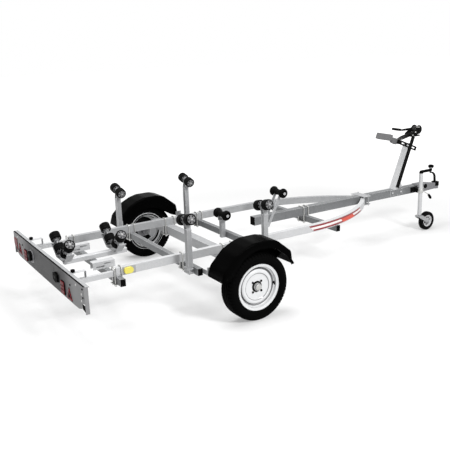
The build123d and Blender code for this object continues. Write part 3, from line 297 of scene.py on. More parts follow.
# %% Grain group
grain_group, grain_in, grain_out = start_group(
    "fine_grain",
    [("Tone A", COLOUR, grey(0.02)), ("Tone B", COLOUR, grey(0.04)),
     ("Scale", FLOAT, 300.0), ("Patch Scale", FLOAT, 12.0),
     ("Rough Low", FLOAT, 0.4), ("Rough High", FLOAT, 0.6)],
    [("Color", COLOUR), ("Roughness", FLOAT), ("Height", FLOAT)],
)
place = add_node(grain_group, "TexCoord")
fine = add_node(grain_group, "TexNoise", values={"Detail": 3.0, "Roughness": 0.55})
patch = add_node(grain_group, "TexNoise", values={"Detail": 4.0, "Roughness": 0.6})
tone = add_mix(grain_group, {0: 0.5}, "FLOAT")
shade = add_mix(grain_group)
rough = add_node(grain_group, "MapRange")
wire(
    grain_group, (place, "Object", fine, "Vector"), (place, "Object", patch, "Vector"),
    (grain_in, "Scale", fine, "Scale"), (grain_in, "Patch Scale", patch, "Scale"),
    (fine, "Fac", tone, 2), (patch, "Fac", tone, 3), (tone, 0, shade, 0),
    (grain_in, "Tone A", shade, 6), (grain_in, "Tone B", shade, 7), (shade, 2, grain_out, "Color"),
    (patch, "Fac", rough, "Value"), (grain_in, "Rough Low", rough, "To Min"),
    (grain_in, "Rough High", rough, "To Max"), (rough, 0, grain_out, "Roughness"),
    (fine, "Fac", grain_out, "Height"),
)
print("group:", grain_group.name, len(grain_group.nodes), "nodes")

# %% [markdown]
# **Ribs.** A lamp's lens and a webbing strap both have fine parallel ribs. A wave pattern along
# one direction gives a mask that a material can use for its bump and for its colour.

# %% Rib group
rib_group, rib_in, rib_out = start_group(
    "fine_ribs",
    [("Across", "NodeSocketVector", (0.0, 1.0, 0.0)), ("Ribs per Metre", FLOAT, 200.0)],
    [("Mask", FLOAT)],
)
place = add_node(rib_group, "TexCoord")
along = add_node(rib_group, "VectorMath", {"operation": "DOT_PRODUCT"})
turns = add_math(rib_group, "MULTIPLY")
circle = add_math(rib_group, "MULTIPLY", {1: 2 * pi})
wave = add_math(rib_group, "SINE")
half = add_math(rib_group, "MULTIPLY_ADD", {1: 0.5, 2: 0.5})
wire(
    rib_group, (place, "Object", along, 0), (rib_in, "Across", along, 1),
    (along, "Value", turns, 0), (rib_in, "Ribs per Metre", turns, 1), (turns, 0, circle, 0),
    (circle, 0, wave, 0), (wave, 0, half, 0), (half, 0, rib_out, "Mask"),
)
print("group:", rib_group.name, len(rib_group.nodes), "nodes")

# %% [markdown]
# **Worn edges.** Paint and zinc are thinner and lighter where something rubs the edge. The Bevel
# node tells how far the surface turns within a small radius, so comparing its normal with the
# true one gives a mask of the edges.

# %% Edge group
edge_group, edge_in, edge_out = start_group(
    "worn_edges",
    [("Radius", FLOAT, 0.002), ("Amount", FLOAT, 0.5)],
    [("Mask", FLOAT)],
)
bevel = add_node(edge_group, "Bevel", {"samples": 4})
true_normal = add_node(edge_group, "NewGeometry")
facing = add_node(edge_group, "VectorMath", {"operation": "DOT_PRODUCT"})
turned_away = add_math(edge_group, "SUBTRACT", {0: 1.0})
broken = add_node(edge_group, "TexNoise", values={"Scale": 60.0, "Detail": 4.0, "Roughness": 0.7})
patchy = add_math(edge_group, "MULTIPLY")
gained = add_node(edge_group, "Math", {"operation": "MULTIPLY", "use_clamp": True})
stronger = add_math(edge_group, "MULTIPLY", {1: 12.0})
wire(
    edge_group, (edge_in, "Radius", bevel, "Radius"), (bevel, 0, facing, 0),
    (true_normal, "Normal", facing, 1), (facing, "Value", turned_away, 1),
    (turned_away, 0, patchy, 0), (broken, "Fac", patchy, 1), (patchy, 0, stronger, 0),
    (stronger, 0, gained, 0), (edge_in, "Amount", gained, 1), (gained, 0, edge_out, "Mask"),
)
print("group:", edge_group.name, len(edge_group.nodes), "nodes")

# %% [markdown]
# ## Materials
#
# Each finish is one material. It places a group or two with its own values and feeds them to a
# Principled BSDF that stays in the material itself, so that gloss and reflection come from the
# shader and the lights. A value that is the same all over stays on the shader's own socket.

# %% A helper that starts a material with its shader


def start_material(name, metallic=0.0, specular=0.5, coat=0.0):
    """New material with a Principled BSDF; returns the material, its tree and the shader."""
    material = bpy.data.materials.new(name)
    material.use_nodes = True
    shader = material.node_tree.nodes["Principled BSDF"]
    shader.inputs["Metallic"].default_value = metallic
    shader.inputs["Specular IOR Level"].default_value = specular
    shader.inputs["Coat Weight"].default_value = coat
    return material, material.node_tree, shader


def place_group(tree, group, values):
    """A group placed in a material, with the material's own values."""
    return add_node(tree, "Group", {"node_tree": group}, values)


def add_bump(tree, shader, height, strength, distance):
    """Bump from a height output into the shader's normal."""
    bump = add_node(tree, "Bump", values={"Strength": strength, "Distance": distance})
    tree.links.new(height, bump.inputs["Height"])
    tree.links.new(bump.outputs["Normal"], shader.inputs["Normal"])


def rub_edges(tree, tone, radius, amount, rubbed_tone):
    """A tone that turns to another where the edges are rubbed."""
    edges = place_group(tree, edge_group, {"Radius": radius, "Amount": amount})
    rubbed = add_mix(tree, {7: rubbed_tone})
    tree.links.new(edges.outputs["Mask"], rubbed.inputs[0])
    tree.links.new(tone, rubbed.inputs[6])
    return rubbed.outputs[2]


# %% [markdown]
# Galvanised steel comes in five tones: the frame's plain dip, the bright zinc of small fittings,
# which on the near rail is painted light, a paler copy of the far rail's zinc, the duller zinc of
# the drawbar and crossmembers, the plated zinc of the bolts, and the coupling's rough casting.

# %% Galvanised steel


def zinc_finish(name, light, dark, rough_low, rough_high, metallic, crystal_scale=160.0):
    """Galvanised steel with its crystals, its runs and a paler rubbed edge."""
    material, tree, shader = start_material(name, metallic=metallic)
    skin = place_group(
        tree, zinc_group,
        {"Light": light, "Dark": dark, "Rough Low": rough_low, "Rough High": rough_high,
         "Crystal Scale": crystal_scale},
    )
    tone = rub_edges(tree, skin.outputs["Color"], 0.003, 0.55, (0.86, 0.87, 0.88, 1))
    tree.links.new(tone, shader.inputs["Base Color"])
    tree.links.new(skin.outputs["Roughness"], shader.inputs["Roughness"])
    add_bump(tree, shader, skin.outputs["Height"], 0.12, 0.001)
    return material


galvanised = zinc_finish(
    "galvanised_steel", (0.46, 0.465, 0.47, 1), (0.27, 0.275, 0.285, 1), 0.36, 0.54, 0.35
)
bright_zinc_and_painted_light = zinc_finish(
    "bright_galvanised_steel_and_painted_light", (0.64, 0.645, 0.65, 1), (0.44, 0.445, 0.455, 1), 0.36, 0.54, 0.3
)
aged_zinc = zinc_finish(
    "aged_galvanised_steel", (0.24, 0.245, 0.25, 1), (0.12, 0.125, 0.13, 1), 0.4, 0.58, 0.3
)
bolt_zinc = zinc_finish(
    "zinc_plated_bolt", (0.62, 0.62, 0.6, 1), (0.4, 0.4, 0.39, 1), 0.25, 0.42, 0.8, 400.0
)
cast_grey = zinc_finish(
    "cast_coupling", (0.26, 0.26, 0.27, 1), (0.13, 0.13, 0.14, 1), 0.4, 0.62, 0.35, 500.0
)
print("zinc finishes ready")

# %% [markdown]
# Black comes as coated steel, as matt plastic, as the fenders' smoother plastic, as roller rubber
# and as tyre rubber; white and grey paints follow. They all share the grain group and differ in
# tone, gloss and bump.

# %% Plastics, rubbers and paints


def grained_finish(name, tone_a, tone_b, scale, rough_low, rough_high, bump, specular=0.5,
                   coat=0.0, patch_scale=12.0, edge=None):
    """Moulded or painted finish with mottled tone, uneven gloss and a fine bump."""
    material, tree, shader = start_material(name, specular=specular, coat=coat)
    skin = place_group(
        tree, grain_group,
        {"Tone A": tone_a, "Tone B": tone_b, "Scale": scale, "Patch Scale": patch_scale,
         "Rough Low": rough_low, "Rough High": rough_high},
    )
    tone = skin.outputs["Color"]
    if edge:
        tone = rub_edges(tree, tone, 0.0025, 0.5, edge)
    tree.links.new(tone, shader.inputs["Base Color"])
    tree.links.new(skin.outputs["Roughness"], shader.inputs["Roughness"])
    add_bump(tree, shader, skin.outputs["Height"], bump, 0.001)
    return material


black_coat = grained_finish(
    "black_coated_steel", grey(0.003), grey(0.008), 600.0,
    0.3, 0.45, 0.08, specular=0.02, edge=grey(0.05),
)
matt_plastic = grained_finish(
    "black_matt_plastic", grey(0.002), grey(0.006), 900.0,
    0.42, 0.6, 0.15, specular=0.01,
)
fender_plastic = grained_finish(
    "black_fender_plastic", grey(0.0006), grey(0.002), 700.0,
    0.22, 0.36, 0.1, specular=0.005, patch_scale=5.0,
)
roller_rubber = grained_finish(
    "roller_rubber", grey(0.002), grey(0.006), 800.0,
    0.4, 0.58, 0.12, specular=0.02,
)
tyre_rubber = grained_finish(
    "tyre_rubber", grey(0.0008), grey(0.0035), 500.0,
    0.5, 0.72, 0.2, specular=0.01,
)
rim_white = grained_finish(
    "rim_white_paint", (0.68, 0.69, 0.7, 1), (0.75, 0.755, 0.76, 1), 300.0,
    0.22, 0.34, 0.03, coat=0.3, edge=grey(0.9),
)
board_grey = grained_finish(
    "board_grey", (0.035, 0.035, 0.037, 1), (0.052, 0.052, 0.054, 1), 500.0,
    0.4, 0.55, 0.05, specular=0.2, edge=grey(0.3),
)
pad_grey = grained_finish(
    "grey_pad_rubber", grey(0.1), (0.15, 0.15, 0.155, 1), 600.0,
    0.55, 0.7, 0.2,
)
print("grained finishes ready")

# %% [markdown]
# The light board's sheet is darker in the middle and paler towards its ends: painted light and
# shade that stand in for how the lamps fall across the sheet. The distance from the trailer's
# centre line makes that mask, so the painted change of tone stays with the sheet from every side.

# %% Painted light: paler ends on the board
board_tree = board_grey.node_tree
board_shader = board_tree.nodes["Principled BSDF"]
board_place = add_node(board_tree, "TexCoord")
board_split = add_node(board_tree, "SeparateXYZ")
board_side = add_math(board_tree, "ABSOLUTE")
painted_light_share = add_node(
    board_tree, "MapRange", {"interpolation_type": "SMOOTHSTEP"},
    {"From Min": 0.38, "From Max": 0.68},
)
painted_light_mix = add_mix(board_tree, {7: (0.26, 0.26, 0.265, 1)})
board_tone = board_shader.inputs["Base Color"].links[0].from_socket
board_tree.links.new(board_tone, painted_light_mix.inputs[6])
wire(
    board_tree, (board_place, "Object", board_split, 0), (board_split, "Y", board_side, 0),
    (board_side, 0, painted_light_share, "Value"), (painted_light_share, 0, painted_light_mix, 0),
    (painted_light_mix, 2, board_shader, "Base Color"),
)
print("board tones mixed from the centre line outwards")

# %% [markdown]
# A lens is coloured plastic with a faint sheen, a ribbed bump and a tone that is lighter along
# the ribs. The webbing strap has ribs too, only finer.

# %% Lenses and webbing


def lens_finish(name, deep, bright, across, per_metre, specular=0.06):
    """Ribbed coloured lens or webbing."""
    material, tree, shader = start_material(name, specular=specular)
    ribs = place_group(tree, rib_group, {"Across": across, "Ribs per Metre": per_metre})
    shade = add_mix(tree, {6: deep, 7: bright})
    rough = add_node(tree, "MapRange", values={"To Min": 0.2, "To Max": 0.35})
    wire(
        tree, (ribs, "Mask", shade, 0), (shade, 2, shader, "Base Color"),
        (ribs, "Mask", rough, "Value"), (rough, 0, shader, "Roughness"),
    )
    add_bump(tree, shader, ribs.outputs["Mask"], 0.5, 0.002)
    return material


lens_red = lens_finish(
    "red_lens", (0.07, 0.002, 0.004, 1), (0.3, 0.012, 0.022, 1), (0.0, 1.0, 0.0), 55.0
)
lens_amber = lens_finish(
    "amber_lens", (0.8, 0.68, 0.1, 1), (0.9, 0.82, 0.22, 1), (1.0, 0.0, 0.0), 120.0
)
webbing = lens_finish(
    "black_webbing", grey(0.006), grey(0.02), (0.0, 1.0, 0.0), 450.0, specular=0.25
)
print("lenses and webbing ready")

# %% [markdown]
# ## Dress the CAD pieces
#
# Most of the trailer's pieces already have the right shape. They only need a finish, given to
# every material slot of their objects.

# %% Give each CAD piece its finish
finish_of = {
    galvanised: "rail_left keel_beam axle side_posts keel_cradles keel_roller_mounts jockey_leg "
                "jockey_fork fender_brackets clamp_plates",
    # On the near rail (rail_right) the bright zinc is painted light, so that rail looks more lit
    # than the far one.
    bright_zinc_and_painted_light: "rail_right slotted_brackets light_board_arms winch_post jockey_tube",
    aged_zinc: "drawbar crossmembers",
    bolt_zinc: "u_bolts",
    cast_grey: "coupling_head hub_left hub_right",
    black_coat: "winch_stand winch_drum jockey_clamp coupling_lever bow_stop_arm",
    matt_plastic: "tube_plugs light_board_knobs plate_lamps",
    fender_plastic: "fender_left fender_right",
    roller_rubber: "side_rollers_front_left side_rollers_front_right side_rollers_rear_left "
                   "side_rollers_rear_right keel_rollers_rear_left keel_rollers_rear_right "
                   "keel_rollers_mid_left keel_rollers_mid_right keel_roller_mid "
                   "keel_roller_front jockey_wheel",
    tyre_rubber: "tyre_left tyre_right",
    rim_white: "rim_left rim_right",
    board_grey: "light_board",
    pad_grey: "bow_stop",
    lens_red: "tail_lamps triangle_reflectors",
    lens_amber: "side_markers",
    webbing: "winch_strap",
}
for finish, names in finish_of.items():
    for name in names.split():
        nodes[name].data.materials.clear()
        nodes[name].data.materials.append(finish)
print("pieces with a finish:", sum(len(names.split()) for names in finish_of.values()))

# %% [markdown]
# ## Wheels
#
# A turned piece is a profile spun about an axis, given as pairs of numbers: how far along the
# axis and how far from it. The helper can also cut the outline step by step, which is how the
# tyre gets its tread blocks. A lofted piece runs through rings of points instead. Smooth shading
# with sharp edges kept by angle suits such work. UP, DOWN, BACK and ACROSS are directions in the
# trailer's own frame.

# %% Helpers for new pieces
CRISP = 25.0  # the angle past which the edges of flat mouldings stay sharp
UP, DOWN, BACK = Vector((0, 0, 1)), Vector((0, 0, -1)), Vector((-1, 0, 0))
ACROSS = Vector((0, 1, 0))


def new_piece(name, parts, finish, body, sharp=35.0):
    """Piece from one (verts, faces) or a list of them, riding on a body, smooth but for edges."""
    mesh = bpy.data.meshes.new(name)
    verts, faces = joined(parts) if isinstance(parts, list) else parts
    mesh.from_pydata(verts, [], faces)
    mesh.update()
    work = bmesh.new()
    work.from_mesh(mesh)
    bmesh.ops.recalc_face_normals(work, faces=work.faces)
    work.to_mesh(mesh)
    work.free()
    for face in mesh.polygons:
        face.use_smooth = True
    mesh.set_sharp_from_angle(angle=radians(sharp))
    mesh.materials.append(finish)
    piece = bpy.data.objects.new(name, mesh)
    scene.collection.objects.link(piece)
    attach(piece, body)
    return piece


def axis_frame(axis):
    """An axis at unit length and two unit directions square to it and to each other."""
    axis = Vector(axis).normalized()
    up = UP if abs(axis.z) < 0.9 else -BACK
    side = axis.cross(up).normalized()
    return axis, side, axis.cross(side).normalized()


def grid_faces(rows, width, round_rows=False, round_width=False):
    """Four-sided faces over rows of points, which may close on themselves either way."""
    faces = []
    for row in range(rows if round_rows else rows - 1):
        here, there = row * width, (row + 1) % rows * width
        for index in range(width if round_width else width - 1):
            after = (index + 1) % width
            faces.append((here + index, here + after, there + after, there + index))
    return faces


def turned(profile, centre, axis, angles, closed=True, radius_at=None):
    """A profile of (along, radius) spun through angles, or through a number of even steps."""
    if isinstance(angles, int):
        angles = [2 * pi * step / angles for step in range(angles)]
    axis, side, up = axis_frame(axis)
    verts = []
    for step, angle in enumerate(angles):
        out = side * cos(angle) + up * sin(angle)
        for index, (along, radius) in enumerate(profile):
            if radius_at:
                radius = radius_at(step, index, radius)
            verts.append(Vector(centre) + axis * along + out * radius)
    return verts, grid_faces(len(angles), len(profile), True, closed)


def lofted(rings):
    """Closed piece through rings of points, capped at both ends, as (verts, faces)."""
    count = len(rings[0])
    total = len(rings) * count
    faces = grid_faces(len(rings), count, round_width=True)
    faces += [tuple(reversed(range(count))), tuple(range(total - count, total))]
    return [point for ring in rings for point in ring], faces


def joined(parts):
    """Several (verts, faces) pairs as one."""
    verts, faces = [], []
    for more_verts, more_faces in parts:
        start = len(verts)
        verts += more_verts
        faces += [tuple(start + index for index in face) for face in more_faces]
    return verts, faces


def mirrored(outline):
    """An outline followed by its own mirror image about the middle."""
    return outline + [(-along, radius) for along, radius in reversed(outline)]


# %% [markdown]
# Discs, nuts and plain boxes turn up all over the trailer, so each has a helper too.

# %% Helpers for discs, nuts and boxes
SQUARE = ((-1, -1), (1, -1), (1, 1), (-1, 1))
HEX_EASE = 0.84


def disc_stack(place, axis, rings, steps=20):
    """Closed turned piece given as (along, radius) rings, capped at both ends."""
    verts, faces = turned(rings, place, axis, steps, closed=False)
    count = len(rings)
    faces.append(tuple(step * count for step in reversed(range(steps))))
    faces.append(tuple(step * count + count - 1 for step in range(steps)))
    return verts, faces


def hex_prism(place, axis, across, height, twist=0.0):
    """Bolt head or nut: a hexagonal prism with a small chamfer, standing on a place."""
    axis, side, up = axis_frame(axis)
    radius = across / sqrt(3)
    turns = [twist + corner * pi / 3 for corner in range(6)]
    return lofted([
        [Vector(place) + axis * along + (side * cos(turn) + up * sin(turn)) * ring
         for turn in turns]
        for along, ring in ((0.0, radius), (height * 0.8, radius), (height, radius * HEX_EASE))
    ])


def box(xs, ys, zs):
    """Box between two places along each axis, as (verts, faces)."""
    return lofted([[Vector((x, ys[wide > 0], zs[high > 0])) for wide, high in SQUARE] for x in xs])


# %% [markdown]
# The tyre's outline runs from the bead up the sidewall, with a scuff rib and two fine rings,
# over the shoulder and across five ribs of tread. Cross grooves split the two outer ribs into
# blocks: at some steps of the turn, the outline's shoulder points drop by the groove's depth.

# %% Tyres with ribs and shoulder blocks
WHEEL_X = -0.902
WHEEL_Y = 0.9665
WHEEL_R = 0.264
GROOVE = 0.007
SHOULDER_CUT = 0.0055
SHOULDER_POINTS = 5
BLOCKS = 58
BLOCK_STEPS = (0.0, 0.74, 0.78, 0.96)  # a block's two ends, then its groove's

sidewall = [
    (0.0440, 0.1660), (0.0568, 0.1660), (0.0576, 0.1842), (0.0625, 0.1862), (0.0660, 0.1890),
    (0.0700, 0.1945), (0.0717, 0.1990), (0.0726, 0.1992), (0.0736, 0.2020), (0.0738, 0.2050),
    (0.0752, 0.2052), (0.0762, 0.2085), (0.0778, 0.2160), (0.0781, 0.2220), (0.0774, 0.2290),
    (0.0780, 0.2300), (0.0777, 0.2330), (0.0764, 0.2350), (0.0745, 0.2400), (0.0715, 0.2470),
    (0.0680, 0.2525), (0.0640, 0.2570), (0.0600, 0.2605), (0.0560, 0.2632),
]
tread_edge = len(sidewall)
tread_half = [
    (0.0400, 0.2638), (0.0385, 0.2638 - GROOVE), (0.0330, 0.2638 - GROOVE), (0.0315, 0.2640),
    (0.0165, 0.2640), (0.0150, 0.2640 - GROOVE), (0.0095, 0.2640 - GROOVE), (0.0080, 0.2640),
]
outline = mirrored(sidewall + tread_half)
block_width = 2 * pi / BLOCKS
blocks = [(block + share) * block_width for block in range(BLOCKS) for share in BLOCK_STEPS]
last = len(outline) - 1


def shoulder_drop(step, index, radius):
    """Radius of an outline point, dropped where a cross groove runs."""
    nearest = min(index, last - index)
    in_groove = step % 4 >= 2
    on_shoulder = tread_edge - SHOULDER_POINTS <= nearest <= tread_edge
    return radius - SHOULDER_CUT if in_groove and on_shoulder else radius


for end, side in SIDES:
    centre = (WHEEL_X, side * WHEEL_Y, WHEEL_R)
    tyre = turned(outline, centre, (0, side, 0), blocks, radius_at=shoulder_drop)
    piece = new_piece(f"tyre_{end}_tread", tyre, tyre_rubber, f"wheel_{end}")
    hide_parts(f"tyre_{end}")
print("tyre faces each:", len(tyre[1]))

# %% [markdown]
# The rim is pressed steel, painted white: a lip, the tyre's seat, the well, and a disc with a
# raised ring. Spinning the outline of the sheet's outer face and back again gives it a real
# thickness. The four bolt holes are left to dark bolt heads, because they are never empty.

# %% Rims, hub caps, wheel bolts and valves
rim_outline = [
    (0.0575, 0.1824), (0.0600, 0.1834), (0.0622, 0.1822), (0.0628, 0.1796), (0.0612, 0.1768),
    (0.0590, 0.1735), (0.0582, 0.1680), (0.0572, 0.1640), (0.0540, 0.1622), (0.0420, 0.1615),
    (0.0380, 0.1600), (0.0330, 0.1545), (0.0290, 0.1495), (0.0255, 0.1474), (0.0200, 0.1466),
    (0.0185, 0.1452), (0.0190, 0.1440), (0.0240, 0.1425), (0.0320, 0.1370), (0.0375, 0.1315),
    (0.0396, 0.1280), (0.0402, 0.1240), (0.0400, 0.1120), (0.0385, 0.1080), (0.0345, 0.1025),
    (0.0328, 0.1000), (0.0322, 0.0960), (0.0322, 0.0720), (0.0322, 0.0480), (0.0318, 0.0440),
    (0.0300, 0.0432), (0.0282, 0.0434), (0.0282, 0.0980), (0.0300, 0.1030), (0.0350, 0.1100),
    (0.0352, 0.1260), (0.0300, 0.1350), (0.0200, 0.1410), (0.0100, 0.1425), (0.0100, 0.1460),
    (-0.0260, 0.1460), (-0.0380, 0.1615), (-0.0614, 0.1620), (-0.0622, 0.1800),
    (-0.0600, 0.1832), (-0.0575, 0.1824), (-0.0568, 0.1652), (-0.0370, 0.1650),
    (-0.0250, 0.1492), (0.0240, 0.1492), (0.0370, 0.1650), (0.0568, 0.1652),
]
cap_outline = [
    (0.0280, 0.0310), (0.0440, 0.0310), (0.0455, 0.0300), (0.0460, 0.0285), (0.0520, 0.0270),
    (0.0580, 0.0240), (0.0605, 0.0190), (0.0612, 0.0120),
]
spigot_shade_outline = [(0.0270, 0.0305), (0.0270, 0.0429), (0.0326, 0.0429), (0.0326, 0.0305)]
STUD_CIRCLE = 0.054
STUD_FACE = 0.0305
RIM_STEPS = 96
rim_shade_lines = (  # thin bands of painted shade in the rim's creases, each on the sheet's outer face
    ((0.0198, 0.1444), (0.0246, 0.1429), (0.0320, 0.1377), (0.0316, 0.1369), (0.0238, 0.1421),
     (0.0190, 0.1436)),
    ((0.0262, 0.1480), (0.0306, 0.1520), (0.0310, 0.1514), (0.0266, 0.1470)),
    ((0.0388, 0.1080), (0.0365, 0.1046), (0.0371, 0.1042), (0.0394, 0.1076)),
)
# Dark grey bands of painted shade in the rim's pressed creases.
rim_shade = grained_finish(
    "rim_crease_shade", (0.1, 0.1, 0.105, 1), (0.2, 0.2, 0.205, 1), 400.0, 0.5, 0.7, 0.05,
    specular=0.1,
)
for end, side in SIDES:
    body = f"wheel_{end}"
    centre = Vector((WHEEL_X, side * WHEEL_Y, WHEEL_R))
    axis = Vector((0, side, 0))
    rim = turned(rim_outline, centre, axis, RIM_STEPS)
    rim_piece = new_piece(f"rim_{end}_pressed", rim, rim_white, body)
    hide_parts(f"rim_{end}")
    cap = disc_stack(centre, axis, cap_outline, 40)
    new_piece(f"hub_cap_{end}", cap, bolt_zinc, body)
    lines = [turned(line, centre, axis, RIM_STEPS) for line in rim_shade_lines]
    new_piece(f"rim_shade_lines_{end}", lines, rim_shade, body)
    # The spigot ring round the hub cap is black as painted shade of the gap between the cap and
    # the disc.
    spigot = turned(spigot_shade_outline, centre, axis, 48)
    new_piece(f"hub_spigot_shade_{end}", spigot, matt_plastic, body)
    bolts = []
    for corner in range(4):
        angle = radians(45 + 90 * corner)
        place = centre + Vector((cos(angle), 0, sin(angle))) * STUD_CIRCLE + axis * STUD_FACE
        bolts.append(disc_stack(place, axis, [(0.0, 0.0085), (0.0035, 0.0085), (0.004, 0.0078)]))
        bolts.append(hex_prism(place + axis * 0.004, axis, 0.0135, 0.007, angle))
    new_piece(f"wheel_bolts_{end}", bolts, matt_plastic, body)
    valve_at = centre + Vector((0.152, 0, 0.002)) + axis * 0.036
    valve_axis = (axis * 0.9 + Vector((-0.42, 0, 0.0))).normalized()
    valve = disc_stack(
        valve_at, valve_axis,
        [(0.0, 0.0085), (0.008, 0.0085), (0.012, 0.0060), (0.030, 0.0056), (0.031, 0.0064),
         (0.040, 0.0064), (0.041, 0.0052)], 16,
    )
    new_piece(f"valve_{end}", valve, roller_rubber, body)
print("rim outline points:", len(rim_outline))

# %% [markdown]
# Seen from inside, the wheel is a dark hollow in shade, with only the rim's rings bright. Thin
# black bands of painted shade line the barrel and the back of the disc, a fraction of a millimetre
# proud of the painted steel.

# %% Painted shade inside each wheel
inside_shade_bands = (
    ((-0.0626, 0.1640), (-0.0626, 0.1780), (-0.0616, 0.1780), (-0.0616, 0.1640)),
    ((-0.0560, 0.1606), (-0.0430, 0.1606), (-0.0430, 0.1614), (-0.0560, 0.1614)),
    ((-0.0290, 0.1480), (-0.0262, 0.1448), (-0.0040, 0.1448), (-0.0040, 0.1458),
     (-0.0258, 0.1458), (-0.0284, 0.1488)),
    ((0.0270, 0.0330), (0.0270, 0.0990), (0.0292, 0.1036), (0.0335, 0.1105), (0.0335, 0.1245),
     (0.0345, 0.1245), (0.0345, 0.1100), (0.0278, 0.0984), (0.0278, 0.0330)),
)
for end, side in SIDES:
    centre = (WHEEL_X, side * WHEEL_Y, WHEEL_R)
    bands = [turned(band, centre, (0, side, 0), RIM_STEPS) for band in inside_shade_bands]
    new_piece(f"wheel_inside_shade_{end}", bands, matt_plastic, f"wheel_{end}")
print("dark bands in each wheel:", len(inside_shade_bands))

# %% [markdown]
# ## Boat rollers
#
# The rollers are moulded in black rubber round a grey hub: a round-shouldered tread, a recess in
# each end, and in the recess a hub disc with six round holes, which are black discs of painted
# shade rather than open holes. The CAD model says where each pair turns, so every roller is built
# on its joint's own axis.

# %% Rollers in pairs
ROLLER_OUTLINE = [
    (0.0305, 0.0335), (0.0304, 0.0350), (0.0302, 0.0385), (0.0296, 0.0400), (0.0284, 0.0415),
    (0.0262, 0.0428), (0.0235, 0.0434), (0.0200, 0.0435), (0.0135, 0.0435), (0.0125, 0.0430),
    (0.0105, 0.0430), (0.0095, 0.0435),
]
HUB_OUTLINE = [
    (0.0305, 0.0086), (0.0305, 0.0160), (0.0298, 0.0170), (0.0278, 0.0174), (0.0278, 0.0334),
]
HOLES = 6
HOLE_R = 0.0058
HOLE_CIRCLE = 0.0252
HOLE_FACE = 0.0280
PAIR_SPACING = 0.114

hub_grey = grained_finish(
    "roller_hub_grey", (0.13, 0.13, 0.135, 1), (0.2, 0.2, 0.205, 1), 700.0, 0.4, 0.55, 0.1
)


def hub_hole_shades(centre, axis):
    """Black discs of painted shade for the round holes in the hub disc at one end of a roller."""
    axis, side, up = axis_frame(axis)
    parts = []
    for hole in range(HOLES):
        angle = 2 * pi * hole / HOLES
        place = Vector(centre) + axis * HOLE_FACE
        place += (side * cos(angle) + up * sin(angle)) * HOLE_CIRCLE
        parts.append(disc_stack(place, axis, [(-0.002, HOLE_R), (0.0, HOLE_R)], 14))
    return parts


def joints_of(*starts):
    """Child, place and axis of each joint whose child's name starts in one of these ways."""
    return [
        (joint["child"], Vector(joint["pos_m"]), Vector(joint["axis"]))
        for joint in frame["joints"] if joint["child"].startswith(starts)
    ]


pairs = joints_of("side_rollers", "keel_rollers")
for child, middle, axis in pairs:
    treads, hubs, holes = [], [], []
    for way in (1, -1):
        centre = middle + axis * (way * PAIR_SPACING / 2)
        treads.append(turned(mirrored(ROLLER_OUTLINE), centre, axis, 48))
        hubs.append(turned(mirrored(HUB_OUTLINE), centre, axis, 32))
        holes += hub_hole_shades(centre, axis) + hub_hole_shades(centre, -axis)
    piece = new_piece(f"{child}_treads", treads, roller_rubber, child, sharp=40.0)
    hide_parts(child)
    new_piece(f"{child}_hubs", hubs, hub_grey, child, sharp=40.0)
    new_piece(f"{child}_hub_hole_shades", holes, matt_plastic, child)
print("rollers in pairs:", 2 * len(pairs))

# %% [markdown]
# The two keel rollers are waisted, so that a keel centres itself. Their pins are held by two arms
# that sit in slots of the roller, so each is three turned pieces: a bulb at each end and a spool
# between the arms. The waist is one arc that runs through all three.

# %% Waisted keel rollers
WAIST_R = 0.026
BULB_R = 0.045
BULB_AT = 0.065
SPOOL_HALF = 0.0346
BULB_FROM = 0.0414
PIN_BORE = 0.0084
sagitta = BULB_R - WAIST_R
arc_r = (BULB_AT**2 + sagitta**2) / (2 * sagitta)


def waist_radius(along):
    """Radius of the waist's arc at a distance from the roller's middle."""
    return WAIST_R + arc_r - sqrt(arc_r**2 - along**2)


bulb_outline = [
    (0.0920, PIN_BORE), (0.0920, 0.0160), (0.0910, 0.0170), (0.0840, 0.0175), (0.0840, 0.0250),
    (0.0910, 0.0256), (0.0920, 0.0270), (0.0918, 0.0300), (0.0905, 0.0342), (0.0880, 0.0378),
    (0.0845, 0.0408), (0.0800, 0.0432), (0.0750, 0.0446), (0.0700, 0.0451),
]
for step in range(9):
    along = BULB_AT - (BULB_AT - BULB_FROM - 0.001) * step / 8
    bulb_outline.append((along, waist_radius(along)))
bulb_outline += [(BULB_FROM, waist_radius(BULB_FROM) - 0.001), (BULB_FROM, PIN_BORE)]
spool_outline = [(SPOOL_HALF, PIN_BORE), (SPOOL_HALF, waist_radius(SPOOL_HALF) - 0.001)]
for step in range(9):
    along = (SPOOL_HALF - 0.001) * (1 - step / 8)
    spool_outline.append((along, waist_radius(along)))
for child, middle, axis in joints_of("keel_roller_"):
    spool = spool_outline + mirrored(spool_outline[:-1])[len(spool_outline) - 1:]
    parts = [turned(spool, middle, axis, 56)]
    for way in (1, -1):
        parts.append(turned(bulb_outline, middle, axis * way, 56))
    piece = new_piece(f"{child}_waisted", parts, roller_rubber, child, sharp=40.0)
    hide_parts(child)
print("waist radius in mm:", round(WAIST_R * 1000))

# %% [markdown]
# ## Fenders
#
# Each fender is one thin plastic moulding: flat facets over the wheel, a deep outer skirt cut
# round the wheel, a shallow inner skirt, and rounded shoulders between them. It is made as a grid.
# One way runs along the facets, with a small bend and a holding row at each crease; the other
# way runs across, from the inner skirt over the crown to the outer lip.

# %% The fender's outline, with its creases eased
FENDER_IN = 0.8252
FENDER_OUT = 1.0448
OUTER_ARCH = Vector((0.035, 0.277))
OUTER_ARCH_R = 0.2875
INNER_ARCH = Vector((0.0, WHEEL_R))
INNER_ARCH_R = 0.2505
INNER_MOUTH = [Vector((0.178, 0.4505)), Vector((0.239, 0.4095)), Vector((0.3135, 0.3858))]
CREASE = 0.016
HOLD = 0.004
fender_outline = [
    Vector(point) / 1000 for point in (
        (-330, 372), (-306, 455), (-200, 560), (-115, 602), (-40, 622), (100, 622),
        (172, 602), (298, 499), (311, 393),
    )
]


